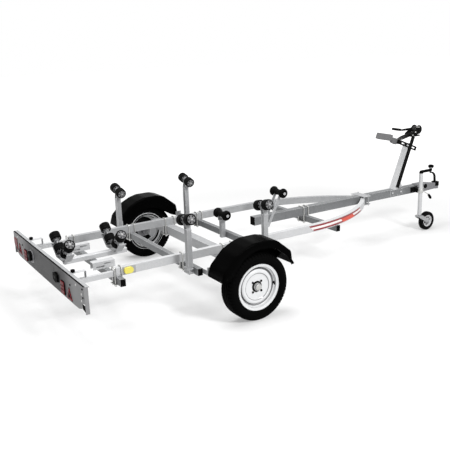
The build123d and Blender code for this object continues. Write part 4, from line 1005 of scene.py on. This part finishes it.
def eased(points, ease, hold):
    """A polyline whose corners are short bends, with a holding point beside each bend."""
    line = [points[0]]
    for before, corner, after in zip(points, points[1:], points[2:]):
        back = (before - corner).normalized()
        on = (after - corner).normalized()
        line.append(corner + back * (ease + hold))
        for share in (0.0, 0.25, 0.5, 0.75, 1.0):
            first = corner + back * ease * (1 - share)
            second = corner + on * ease * share
            line.append(first.lerp(second, share))
        line.append(corner + on * (ease + hold))
    line.append(points[-1])
    return line


crown_line = eased(fender_outline, CREASE, HOLD)
print("points along a fender:", len(crown_line))

# %% Fenders
SHOULDER = 0.016
LIP = 0.006
FLARE = 0.003
SKIN = 0.0035


def arc_points(centre, radius, start, stop, count=48):
    """Points of an arc between two angles."""
    turns = [start + (stop - start) * step / count for step in range(count + 1)]
    return [centre + Vector((cos(turn), sin(turn))) * radius for turn in turns]


def runs_along(path):
    """How far along a path each of its points lies."""
    runs = [0.0]
    for before, after in zip(path, path[1:]):
        runs.append(runs[-1] + (after - before).length)
    return runs


def spread_along(path, count):
    """A number of points evenly spread along a path."""
    runs = runs_along(path)
    points = []
    piece = 0
    for step in range(count):
        run = runs[-1] * step / (count - 1)
        while piece < len(path) - 2 and runs[piece + 1] < run:
            piece += 1
        share = (run - runs[piece]) / (runs[piece + 1] - runs[piece])
        points.append(path[piece].lerp(path[piece + 1], share))
    return points


def edge_below(path, count=400):
    """One point of a lower edge for each point of the crown, by its share of the way round."""
    fine = spread_along(path, count)
    runs = runs_along(crown_line)
    return [fine[round(run / runs[-1] * (count - 1))] for run in runs]


FLOOR_REAR = fender_outline[0].y
FLOOR_FRONT = fender_outline[-1].y
outer_edge = edge_below(arc_points(
    OUTER_ARCH, OUTER_ARCH_R,
    pi - asin((FLOOR_REAR - OUTER_ARCH.y) / OUTER_ARCH_R),
    asin((FLOOR_FRONT - OUTER_ARCH.y) / OUTER_ARCH_R),
))
inner_edge = edge_below(arc_points(
    INNER_ARCH, INNER_ARCH_R,
    pi - asin((FLOOR_REAR - INNER_ARCH.y) / INNER_ARCH_R),
    atan2(INNER_MOUTH[0].y - INNER_ARCH.y, INNER_MOUTH[0].x),
) + INNER_MOUTH)
bends = [radians(15 * step) for step in range(7)]
for end, side in SIDES:
    rows = []
    for crown, outer, inner in zip(crown_line, outer_edge, inner_edge):
        down_out = (outer - crown).normalized()
        down_in = (inner - crown).normalized()
        row = [
            (FENDER_IN + LIP, inner),
            (FENDER_IN + 0.001, inner - down_in * 0.001),
            (FENDER_IN, inner - down_in * 0.004),
            (FENDER_IN, crown + down_in * (SHOULDER + HOLD)),
        ]
        for bend in bends:
            drop = down_in * SHOULDER * (1 - sin(bend))
            row.append((FENDER_IN + SHOULDER * (1 - cos(bend)), crown + drop))
        row += [(FENDER_IN + SHOULDER + HOLD, crown), (FENDER_OUT - SHOULDER - HOLD, crown)]
        for bend in reversed(bends):
            drop = down_out * SHOULDER * (1 - sin(bend))
            row.append((FENDER_OUT - SHOULDER * (1 - cos(bend)), crown + drop))
        row += [
            (FENDER_OUT, crown + down_out * (SHOULDER + HOLD)),
            (FENDER_OUT, outer - down_out * 0.020),
            (FENDER_OUT - FLARE, outer - down_out * 0.015),
            (FENDER_OUT - FLARE, outer - down_out * 0.004),
            (FENDER_OUT - FLARE - 0.001, outer - down_out * 0.001),
            (FENDER_OUT - FLARE - LIP, outer),
        ]
        rows.append([Vector((WHEEL_X + point.x, side * across, point.y)) for across, point in row])
    verts = [point for row in rows for point in row]
    piece = new_piece(
        f"fender_{end}_moulding", (verts, grid_faces(len(rows), len(row))), fender_plastic,
        "chassis", sharp=50.0,
    )
    skin = piece.modifiers.new("skin", "SOLIDIFY")
    skin.thickness = SKIN
    skin.offset = -1.0
    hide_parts(f"fender_{end}")
print("rows across a fender:", len(row))

# %% [markdown]
# ## Bent rods
#
# U-bolts, levers and cranks are round bar bent at the corners. This helper rounds the corners
# of a path and sweeps a circle along it, closed at both ends. Square tubes and the board's
# mouldings start from a rectangle with cut corners.

# %% A swept rod and a cut rectangle


def rounded_path(points, bend, steps=5):
    """Points of a path with each corner turned on an arc-like bend."""
    points = [Vector(point) for point in points]
    line = [points[0]]
    for before, corner, after in zip(points, points[1:], points[2:]):
        back = before - corner
        on = after - corner
        reach = min(bend, back.length / 2.05, on.length / 2.05)
        first = corner + back.normalized() * reach
        final = corner + on.normalized() * reach
        for step in range(steps + 1):
            share = step / steps
            line.append(first.lerp(corner, share).lerp(corner.lerp(final, share), share))
    line.append(points[-1])
    return line


def swept_rod(points, radius, bend=0.01, sides=12):
    """Round bar along a path, as (verts, faces)."""
    line = rounded_path(points, bend)
    rings = []
    reference = None
    for index, point in enumerate(line):
        ahead = (line[min(index + 1, len(line) - 1)] - line[max(index - 1, 0)]).normalized()
        if reference is None:
            reference = axis_frame(ahead)[1]
        reference = (reference - ahead * reference.dot(ahead)).normalized()
        other = ahead.cross(reference)
        turns = [2 * pi * corner / sides for corner in range(sides)]
        rings.append([
            point + (reference * cos(turn) + other * sin(turn)) * radius for turn in turns
        ])
    return lofted(rings)


def cut_box(y, z, wide, high, cut):
    """Outline of a rectangle with its corners cut."""
    w, h = wide / 2, high / 2
    return [
        (y - w, z - h + cut), (y - w + cut, z - h), (y + w - cut, z - h), (y + w, z - h + cut),
        (y + w, z + h - cut), (y + w - cut, z + h), (y - w + cut, z + h), (y - w, z + h - cut),
    ]


# %% [markdown]
# U-bolts straddle each rail where it crosses a crossmember, and the drawbar where it crosses the
# nose member. Each leg goes through a plate under the crossmember and ends in a washer and a nut.

# %% U-bolts with their plates, washers and nuts
BOLT_R = 0.005
DECK = 0.411
CROSS_H = 0.055
RAIL_Y = 0.505
RAIL_HALF = 0.020
RAIL_TOP = 0.476
DRAWBAR_HALF = 0.035
DRAWBAR_TOP = 0.489
SEAT = 0.0003
PLATE_T = 0.006
PLATE_EDGE = 0.012
PLATE_REACH = 0.022
WASHER_T = 0.0016
BOLT_TAIL = 0.013
MARKER_AT = -0.832
MARKER_REACH = 0.062
MARKER_PROUD = 0.003
crossings = []
for station, depth, spread in (
    (-0.915, CROSS_H, 0.027), (-0.345, CROSS_H, 0.027), (0.362, CROSS_H, 0.027),
    (0.045, 0.080, 0.047),
):
    for side in (1, -1):
        crossings.append((station, side * RAIL_Y, RAIL_HALF, RAIL_TOP, depth, spread))
crossings.append((1.245, 0.0, DRAWBAR_HALF, DRAWBAR_TOP, CROSS_H, 0.027))
rods, nuts = [], []
for station, middle, half, top, depth, spread in crossings:
    under = DECK - depth
    for way in (1, -1):
        leg_x = station + way * spread
        proud = MARKER_PROUD if abs(leg_x - MARKER_AT) < MARKER_REACH else 0.0
        reach = half + BOLT_R + SEAT + proud
        x = WHEEL_X + leg_x
        near, far = middle - reach, middle + reach
        foot = under - PLATE_T - BOLT_TAIL
        path = [(x, near, foot), (x, near, top + BOLT_R), (x, far, top + BOLT_R), (x, far, foot)]
        rods.append(swept_rod(path, BOLT_R, bend=0.009))
        for y in (near, far):
            below = Vector((x, y, under - PLATE_T))
            washer = [(0.0, 0.0098), (WASHER_T, 0.0098)]
            nuts.append(disc_stack(below, DOWN, washer, 20))
            nuts.append(hex_prism(below - Vector((0, 0, WASHER_T)), DOWN, 0.0165, 0.0085))
    plate_x, plate_y = spread + PLATE_EDGE, half + PLATE_REACH
    nuts.append(box(
        (WHEEL_X + station - plate_x, WHEEL_X + station + plate_x),
        (middle - plate_y, middle + plate_y), (under - PLATE_T, under),
    ))
u_bolt_piece = new_piece("u_bolts_bent", rods, bolt_zinc, "chassis")
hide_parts("u_bolts")
new_piece("u_bolt_plates_and_nuts", nuts, bolt_zinc, "chassis")
print("U-bolts:", len(rods))

# %% [markdown]
# ## The sticker
#
# A reflective sticker follows the outer face of each rail round its bend. It is dark red along
# both edges, white along the middle near its ends and orange-red in between, with slanted cuts.
# It is a separate strip, just under half a millimetre proud of the zinc, in cells by colour.

# %% Stripes on both rails
sticker_red, sticker_orange, sticker_white = [
    grained_finish(f"sticker_{name}", tone_a, tone_b, 500.0, 0.3, 0.4, 0.03)
    for name, tone_a, tone_b in (
        ("dark_red", (0.2, 0.006, 0.01, 1), (0.27, 0.012, 0.018, 1)),
        ("orange_red", (0.55, 0.035, 0.012, 1), (0.66, 0.06, 0.02, 1)),
        ("white", (0.8, 0.74, 0.73, 1), (0.88, 0.84, 0.83, 1)),
    )
]
BEND_START = 0.900
BEND_R = 1.5
FACE_Y = 0.525
STICKER_FROM = 0.887
STICKER_LOW = 0.4175
STICKER_HIGH = 0.4695
STICKER_PROUD = 0.0004
STICKER_LENGTH = 0.013 + BEND_R * 0.597


def on_rail_face(run, side):
    """Point of the rail's outer face a run ahead of the sticker's rear end."""
    station = STICKER_FROM + run
    if station <= BEND_START:
        return WHEEL_X + station, side * (FACE_Y + STICKER_PROUD)
    angle = (station - BEND_START) / BEND_R
    radius = BEND_R + STICKER_PROUD
    return (
        WHEEL_X + BEND_START + radius * sin(angle),
        side * (FACE_Y - BEND_R + radius * cos(angle)),
    )


SLANT = 0.060
CUTS = (0.0, 0.445 * STICKER_LENGTH, 0.70 * STICKER_LENGTH, STICKER_LENGTH - SLANT)
bands = (  # low and high as shares of the height, then the finish of each cut's cell
    (0.00, 0.30, (sticker_red, sticker_orange, sticker_red)),
    (0.30, 0.70, (sticker_white, sticker_orange, sticker_white)),
    (0.70, 1.00, (sticker_red, sticker_red, sticker_red)),
)
for end, side in SIDES:
    for finish, label in (
        (sticker_red, "dark"), (sticker_orange, "orange"), (sticker_white, "white"),
    ):
        cells = []
        for low, high, finishes in bands:
            for first, final, cell_finish in zip(CUTS, CUTS[1:], finishes):
                if cell_finish is not finish:
                    continue
                steps = max(2, round((final - first) / 0.025))
                cell = []
                for step in range(steps + 1):
                    for level in (low, high):
                        run = first + (final - first) * step / steps + SLANT * (1 - level)
                        z = STICKER_LOW + (STICKER_HIGH - STICKER_LOW) * level
                        cell.append(Vector((*on_rail_face(run, side), z)))
                cells.append((cell, grid_faces(steps + 1, 2)))
        new_piece(f"rail_sticker_{label}_{end}", cells, finish, "chassis")
print("sticker length in mm:", round(STICKER_LENGTH * 1000))

# %% [markdown]
# ## The keel beam
#
# The beam that carries both tilted roller pairs rests on the rear crossmember and ends just
# ahead of the second pair, so that the wheel beyond it shows. It is one square tube with eased
# edges and welded zinc caps.

# %% Keel beam
BEAM_REAR = WHEEL_X - 1.150
BEAM_FRONT = WHEEL_X - 0.620
BEAM_HALF = 0.025
BEAM_LOW = 0.411
BEAM_HIGH = 0.451
BEAM_EASE = 0.004
section = cut_box(0.0, (BEAM_LOW + BEAM_HIGH) / 2, 2 * BEAM_HALF, BEAM_HIGH - BEAM_LOW, BEAM_EASE)
beam = lofted([[Vector((x, y, z)) for y, z in section] for x in (BEAM_REAR, BEAM_FRONT)])
beam_piece = new_piece("keel_beam_short", beam, bright_zinc_and_painted_light, "chassis", 20.0)
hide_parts("keel_beam")
print("keel beam length in mm:", round((BEAM_FRONT - BEAM_REAR) * 1000))

# %% [markdown]
# ## The light board
#
# The board carries two red lamps, two black number-plate lamps, two triangles and a long red
# reflector at its left end. Each is a moulding with an eased rim, so one helper serves them all:
# it stands an outline of (left, up) points back from the board and draws the last ring in.

# %% A helper for the board's mouldings
BOARD_REAR = -2.202


def tile(outline, depth, rim, face=BOARD_REAR):
    """Moulding with an eased rim that stands back from a face across the trailer."""
    points = [Vector(point) for point in outline]
    middle = sum(points, Vector((0.0, 0.0))) / len(points)
    rings = ((0.0, 0.0), (depth - rim, 0.0), (depth - rim * 0.3, rim * 0.4), (depth, rim))
    return lofted([
        [Vector((face - back, *(point + (middle - point).normalized() * inward)))
         for point in points]
        for back, inward in rings
    ])


def hexagon(y, z, wide, high, side_half):
    """Outline of a hexagon with two upright sides and a corner above and below."""
    half = wide / 2
    return [
        (y - half, z - side_half), (y, z - high / 2), (y + half, z - side_half),
        (y + half, z + side_half), (y, z + high / 2), (y - half, z + side_half),
    ]


print("board helpers ready")

# %% [markdown]
# The number-plate lamps are black hexagonal housings, and the left one has a grey frame behind
# it. Each red lamp is a ribbed lens in a dark housing, crossed by two thin bars.

# %% Lamps, lenses and triangles
LAMP_SIDE = 0.027
PLATE_LAMPS = (  # left, up, width, height, depth and rim of each
    (0.365, 0.415, 0.090, 0.090, 0.022, 0.007), (-0.280, 0.419, 0.100, 0.084, 0.016, 0.006),
)
RED_LAMPS = ((0.510, 0.383, 0.090, 0.094), (-0.420, 0.381, 0.084, 0.102))
LENS_PROUD = 0.010
TRIANGLE_SIDE = 0.105
FRAME_PROUD = 0.005


def triangle(y, base, side):
    """Outline of a triangle that stands on one side."""
    return [(y - side / 2, base), (y + side / 2, base), (y, base + side * sqrt(3) / 2)]


lamp_housings = [
    tile(hexagon(y, z, wide, high, LAMP_SIDE), depth, rim)
    for y, z, wide, high, depth, rim in PLATE_LAMPS
]
piece = new_piece(
    "plate_lamp_housings", lamp_housings, matt_plastic, "chassis", CRISP
)
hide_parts("plate_lamps")
new_piece(
    "plate_lamp_frame", tile(hexagon(0.352, 0.413, 0.122, 0.118, 0.036), 0.0035, 0.002),
    cast_grey, "chassis", CRISP,
)
windows = [
    tile(cut_box(y, z + 0.004, 0.040, 0.022, 0.004), 0.0015, 0.0008, BOARD_REAR - depth)
    for y, z, wide, high, depth, rim in PLATE_LAMPS
]
new_piece("plate_lamp_windows", windows, black_coat, "chassis", CRISP)

housings = [tile(cut_box(y, z, w, h, 0.010), 0.005, 0.002) for y, z, w, h in RED_LAMPS]
new_piece("tail_lamp_housings", housings, matt_plastic, "chassis", CRISP)
lenses = [
    tile(cut_box(y, z, w - 0.008, h - 0.008, 0.010), LENS_PROUD, 0.003)
    for y, z, w, h in RED_LAMPS
]
piece = new_piece("tail_lamp_lenses", lenses, lens_red, "chassis", CRISP)
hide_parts("tail_lamps")
bars = [
    tile(cut_box(y, z + shift, w - 0.020, 0.004, 0.001), 0.0012, 0.0006, BOARD_REAR - LENS_PROUD)
    for y, z, w, h in RED_LAMPS for shift in (-0.014, 0.016)
]
new_piece("tail_lamp_bars", bars, matt_plastic, "chassis", CRISP)

frames, fields = [], []
for tri_y, tri_base in ((0.690, 0.352), (-0.550, 0.330)):
    frames.append(tile(triangle(tri_y, tri_base, TRIANGLE_SIDE), FRAME_PROUD, 0.003))
    inner = triangle(tri_y, tri_base + 0.014, TRIANGLE_SIDE - 0.050)
    fields.append(tile(inner, 0.0008, 0.0004, BOARD_REAR - FRAME_PROUD))
piece = new_piece("triangle_frames", frames, lens_red, "chassis", CRISP)
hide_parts("triangle_reflectors")
new_piece("triangle_fields", fields, matt_plastic, "chassis", CRISP)
fuller = [(0.640, 0.350), (0.640, 0.317), (0.728, 0.3185), (0.792, 0.338), (0.800, 0.370)]
# The black plate behind each lower corner is painted shade in the fold of the end flange, not a
# bracket.
corner_shade_outline = [(0.785, 0.336), (0.8515, 0.322), (0.8515, 0.372), (0.785, 0.372)]
corners, corner_shades = [
    [tile([(side * y, z) for y, z in outline], depth, rim, BOARD_REAR + ahead)
     for end, side in SIDES]
    for outline, depth, rim, ahead in (
        (fuller, 0.0006, 0.0002, 0.0), (corner_shade_outline, 0.001, 0.0003, 0.006),
    )
]
new_piece("board_corners", corners, board_grey, "chassis", CRISP)
new_piece("board_corner_painted_shade", corner_shades, matt_plastic, "chassis", CRISP)
end_lens = [(0.760, 0.362), (0.834, 0.394), (0.853, 0.404), (0.853, 0.462), (0.760, 0.462)]
new_piece("left_end_lens", tile(end_lens, 0.004, 0.002), lens_red, "chassis", CRISP)
print("red lamps:", len(RED_LAMPS), "triangles:", len(frames))

# %% [markdown]
# The board's top flange is bare zinc that catches the light, with a black strip of painted shade
# along the line where it turns down to the rear face. Rivets and screws hold the end flanges and
# the triangle.

# %% Flange strip, rivets and screws
FLANGE_TOP = 0.512
FLANGE_HALF = 0.852
for name, rear, front, finish, slot in (
    ("zinc", -2.189, -2.163, galvanised, "galvanised"),
    ("fold_painted_shade", -2.2025, -2.189, matt_plastic, "board_grey"),
):
    strip = box((rear, front), (-FLANGE_HALF, FLANGE_HALF), (FLANGE_TOP, FLANGE_TOP + 0.0008))
    new_piece(f"board_flange_{name}", strip, finish, "chassis", CRISP)
rivets = [
    disc_stack(
        (BOARD_REAR, y, z), BACK,
        [(0.0, 0.0085), (0.0015, 0.0080), (0.0030, 0.0062), (0.0040, 0.0030)], 16,
    ) for y, z in ((-0.802, 0.447), (-0.793, 0.396), (0.745, 0.486), (-0.700, 0.486))
]
new_piece("board_rivets", rivets, bolt_zinc, "chassis")
screws = [
    hex_prism((BOARD_REAR, y, z), BACK, 0.012, 0.005)
    for y, z in ((-0.829, 0.430), (-0.579, 0.448), (0.600, 0.448), (-0.829, 0.492))
]
new_piece("board_screws", screws, matt_plastic, "chassis")
knobs = [
    disc_stack(
        (BOARD_REAR + 0.052, side * RAIL_Y, 0.503), UP,
        [(0.0, 0.0052), (0.005, 0.0055), (0.007, 0.0130), (0.010, 0.0160), (0.022, 0.0165),
         (0.026, 0.0145), (0.028, 0.0090)], 24,
    ) for end, side in SIDES
]
knob_piece = new_piece("board_knobs", knobs, matt_plastic, "chassis")
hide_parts("light_board_knobs")
print("rivets:", len(rivets), "screws:", len(screws))

# %% [markdown]
# ## Roller ends
#
# Every pair turns on a fixed pin. Outside each roller the pin ends in a grey cap with a small
# bright nub, which stays still with the frame while the roller turns.

# %% Caps on the roller pins
PIN_END = 0.0877
CAP_DEPTH = 0.0066
caps, nubs = [], []
for child, middle, axis in pairs:
    for way in (axis, -axis):
        at = middle + way * PIN_END
        caps.append(disc_stack(
            at, way, [(0.0, 0.0150), (0.0050, 0.0150), (0.0062, 0.0138), (CAP_DEPTH, 0.0105)], 24,
        ))
        nubs.append(disc_stack(
            at + way * CAP_DEPTH, way, [(-0.001, 0.0060), (0.0020, 0.0060), (0.0030, 0.0046)], 16
        ))
new_piece("roller_pin_caps", caps, hub_grey, "chassis")
new_piece("roller_pin_nubs", nubs, bolt_zinc, "chassis")
print("pin ends:", len(caps))

# %% [markdown]
# ## The jockey wheel
#
# The wheel is a solid black tyre on a pale disc with a hub and a ribbed web. Its clamp is a black
# block on the drawbar's side with a bright collar round the tube, closed by a bar with a grip,
# and the crank on top of the tube is coated black.

# %% Jockey wheel, clamp and crank
JOCKEY_X = 1.826
JOCKEY_Y = -0.120
JOCKEY_WHEEL = Vector((1.937, JOCKEY_Y, 0.100))
SADDLE_SIDE = -0.0352
LEVER_Y = JOCKEY_Y - 0.006
SPOKES = 8
SPOKE_HALF = 0.003
SPOKE_DEPTH = 0.0165
pale_plastic = grained_finish(
    "pale_wheel_plastic", (0.5, 0.5, 0.51, 1), (0.6, 0.6, 0.61, 1), 500.0, 0.35, 0.5, 0.06
)
tyre_half = [
    (0.0180, 0.0610), (0.0215, 0.0640), (0.0240, 0.0720), (0.0249, 0.0820), (0.0245, 0.0900),
    (0.0225, 0.0950), (0.0185, 0.0985), (0.0120, 0.0997), (0.0060, 0.1000), (0.0050, 0.0985),
]
disc_half = [
    (0.0215, 0.0090), (0.0215, 0.0190), (0.0190, 0.0205), (0.0100, 0.0230), (0.0080, 0.0280),
    (0.0080, 0.0450), (0.0100, 0.0490), (0.0180, 0.0520), (0.0205, 0.0560), (0.0205, 0.0615),
    (0.0180, 0.0640),
]
jockey_tyre = turned(mirrored(tyre_half), JOCKEY_WHEEL, ACROSS, 64)
piece = new_piece(
    "jockey_wheel_tyre", jockey_tyre, roller_rubber, "jockey_wheel", 40.0
)
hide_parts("jockey_wheel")
disc = turned(mirrored(disc_half), JOCKEY_WHEEL, ACROSS, 64)
spokes = []
for spoke in range(SPOKES):
    angle = 2 * pi * spoke / SPOKES
    out = Vector((cos(angle), 0, sin(angle)))
    flat = Vector((-sin(angle), 0, cos(angle))) * SPOKE_HALF
    spokes.append(lofted([
        [JOCKEY_WHEEL + out * reach + flat * edge + ACROSS * depth * SPOKE_DEPTH
         for edge, depth in SQUARE]
        for reach in (0.018, 0.051)
    ]))
new_piece("jockey_wheel_disc", [disc] + spokes, pale_plastic, "jockey_wheel")
# Two black rings either side of the web are painted shade between the spokes.
web_shade = [
    turned(
        [(way * 0.0081, 0.0285), (way * 0.0081, 0.0448), (way * 0.0090, 0.0448),
         (way * 0.0090, 0.0285)], JOCKEY_WHEEL, ACROSS, 64,
    ) for way in (1, -1)
]
new_piece("jockey_wheel_web_shade", web_shade, matt_plastic, "jockey_wheel")

block = box((JOCKEY_X - 0.022, JOCKEY_X + 0.022), (-0.098, SADDLE_SIDE), (0.424, 0.472))
foot = box((JOCKEY_X - 0.060, JOCKEY_X + 0.034), (-0.0430, SADDLE_SIDE), (0.419, 0.475))
piece = new_piece("jockey_clamp_block", [block, foot], black_coat, "chassis", CRISP)
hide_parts("jockey_clamp")
collar = turned(
    [(-0.022, 0.0215), (-0.022, 0.0265), (-0.020, 0.0275), (0.020, 0.0275), (0.022, 0.0265),
     (0.022, 0.0215)], (JOCKEY_X, JOCKEY_Y, 0.447), UP, 40,
)
lever_bend, lever_tip = Vector((1.945, LEVER_Y, 0.392)), Vector((1.986, LEVER_Y, 0.339))
lever_rod = swept_rod(
    [(JOCKEY_X + 0.0265, LEVER_Y, 0.443), lever_bend, (1.952, LEVER_Y, 0.383)], 0.0045, bend=0.006
)
new_piece("jockey_clamp_collar", [collar, lever_rod], bolt_zinc, "chassis")
grip = disc_stack(
    lever_bend, lever_tip - lever_bend,
    [(0.0, 0.0060), (0.004, 0.0110), (0.020, 0.0135), (0.045, 0.0145), (0.060, 0.0125),
     (0.067, 0.0070)], 20,
)
new_piece("jockey_clamp_grip", grip, matt_plastic, "chassis")

CRANK_TIP = JOCKEY_X + 0.144
CRANK_Z = 0.6515
crank_bar = swept_rod(
    [(JOCKEY_X - 0.006, JOCKEY_Y, CRANK_Z), (CRANK_TIP, JOCKEY_Y, CRANK_Z)], 0.0155, sides=16
)
crank_cap = disc_stack(
    (JOCKEY_X, JOCKEY_Y, 0.6350), UP,
    [(0.0, 0.0216), (0.010, 0.0220), (0.014, 0.0190), (0.024, 0.0160), (0.027, 0.0110)], 28,
)
crank_knob = disc_stack(
    (CRANK_TIP, JOCKEY_Y, 0.6460), UP,
    [(0.0, 0.0150), (0.012, 0.0150), (0.022, 0.0150), (0.030, 0.0210), (0.036, 0.0275),
     (0.048, 0.0300), (0.058, 0.0272), (0.063, 0.0170)], 28,
)
new_piece(
    "jockey_crank_coat", [crank_bar, crank_cap, crank_knob], matt_plastic,
    "jockey_tube",
)
print("jockey wheel spokes:", len(spokes))

# %% [markdown]
# ## The winch
#
# Turns of webbing fill the drum, a toothed ratchet sits on its shaft and a pawl drops into the
# teeth. The strap from the drum to the bow stop turns on edge between its ends, as such straps
# do, so it shows its width to the side.

# %% Winding, ratchet, pawl and strap
DRUM = Vector((1.8540, 0.0, 1.0850))
WINDING_R = 0.0375
PLATE_FACE = 0.0440
winding = turned(
    [(-0.0290, 0.0222), (-0.0290, WINDING_R - 0.002), (-0.0270, WINDING_R), (0.0270, WINDING_R),
     (0.0290, WINDING_R - 0.002), (0.0290, 0.0222)], DRUM, ACROSS, 48,
)
new_piece("winch_winding", winding, webbing, "winch_drum")

TEETH = 14
TOOTH_DEPTH = 0.0056
teeth = lofted([
    [
        DRUM + Vector((cos(angle) * radius, depth - PLATE_FACE, sin(angle) * radius))
        for angle, radius in (
            (2 * pi * (tooth + turn) / TEETH, radius)
            for tooth in range(TEETH) for turn, radius in ((0.0, 0.0230), (0.35, 0.0185))
        )
    ] for depth in (-0.0006, -TOOTH_DEPTH)
])
hub_nut = hex_prism(DRUM - ACROSS * (PLATE_FACE + TOOTH_DEPTH), -ACROSS, 0.020, 0.006)
new_piece("winch_ratchet", [teeth, hub_nut], black_coat, "winch_drum", 20.0)
pawl_y = -PLATE_FACE - 0.0085
pawl_path = ((-0.052, 0.034), (-0.030, 0.030), (-0.012, 0.0285))
pawl = swept_rod([DRUM + Vector((x, pawl_y, z)) for x, z in pawl_path], 0.0045, bend=0.006)
fixings = [
    hex_prism(DRUM + Vector((x, side * PLATE_FACE, z)), ACROSS * side, 0.014, 0.006)
    for end, side in SIDES for x, z in ((-0.100, -0.048), (-0.020, -0.048), (-0.060, -0.020))
]
new_piece("winch_pawl_and_nuts", [pawl] + fixings, bolt_zinc, "chassis")

strap_low, strap_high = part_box("winch_strap")
strap_start = Vector((strap_low[0], 0.0, strap_low[2] + 0.002))
strap_end = Vector((strap_high[0], 0.0, strap_high[2] - 0.002))
strap_run = (strap_end - strap_start).normalized()
strap_up = strap_run.cross(ACROSS).normalized()
STRAP_STEPS = 24
STRAP_HALF = 0.0215
STRAP_SKIN = 0.0015
rings = []
for step in range(STRAP_STEPS + 1):
    share = step / STRAP_STEPS
    twist = radians(80) * min(1.0, 3.0 * share, 3.0 * (1.0 - share))
    wide = ACROSS * cos(twist) + strap_up * sin(twist)
    thin = strap_run.cross(wide) * STRAP_SKIN
    middle = strap_start.lerp(strap_end, share)
    rings.append([middle + wide * STRAP_HALF * edge + thin * skin for edge, skin in SQUARE])
strap_piece = new_piece("winch_strap_twisted", lofted(rings), webbing, "chassis", 60.0)
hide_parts("winch_strap")
print("strap length in mm:", round((strap_end - strap_start).length * 1000))

# %% [markdown]
# ## The coupling
#
# The coupling is bolted through the drawbar, has a round socket housing on each side and a soft
# black guard round its nose. Duller plates face the saddle that holds the winch post.

# %% Coupling bolts, side housings, nose guard and saddle faces
HEAD_X = 2.188
HEAD_R = 0.036
guard = turned(
    [(0.0, HEAD_R + 0.0003), (0.0, HEAD_R + 0.0030), (0.003, HEAD_R + 0.0045),
     (0.040, HEAD_R + 0.0045), (0.044, HEAD_R + 0.0025), (0.0440, 0.0100), (0.0425, 0.0100),
     (0.0425, HEAD_R + 0.0003)],
    (HEAD_X, 0.0, 0.4340), UP, 40,
)
new_piece("coupling_guard", guard, matt_plastic, "chassis")
HEAD_SIDE = 0.0402
coupling_bolts, housings, saddle_faces = [], [], []
for end, side in SIDES:
    for bolt_x in (1.885, 1.945):
        bolt_at = (bolt_x, side * HEAD_SIDE, 0.450)
        coupling_bolts.append(hex_prism(bolt_at, ACROSS * side, 0.019, 0.008))
    housings.append(disc_stack(
        (1.990, side * HEAD_SIDE, 0.460), ACROSS * side,
        [(0.0, 0.0240), (0.004, 0.0240), (0.007, 0.0205), (0.007, 0.0090)], 28,
    ))
    saddle_faces.append(box((1.465, 1.639), (side * 0.0411, side * 0.0419), (0.426, 0.488)))
new_piece("coupling_bolts", coupling_bolts, bolt_zinc, "chassis")
new_piece("coupling_side_housings", housings, matt_plastic, "chassis")
new_piece("saddle_faces", saddle_faces, aged_zinc, "chassis", CRISP)
print("coupling bolts:", len(coupling_bolts))
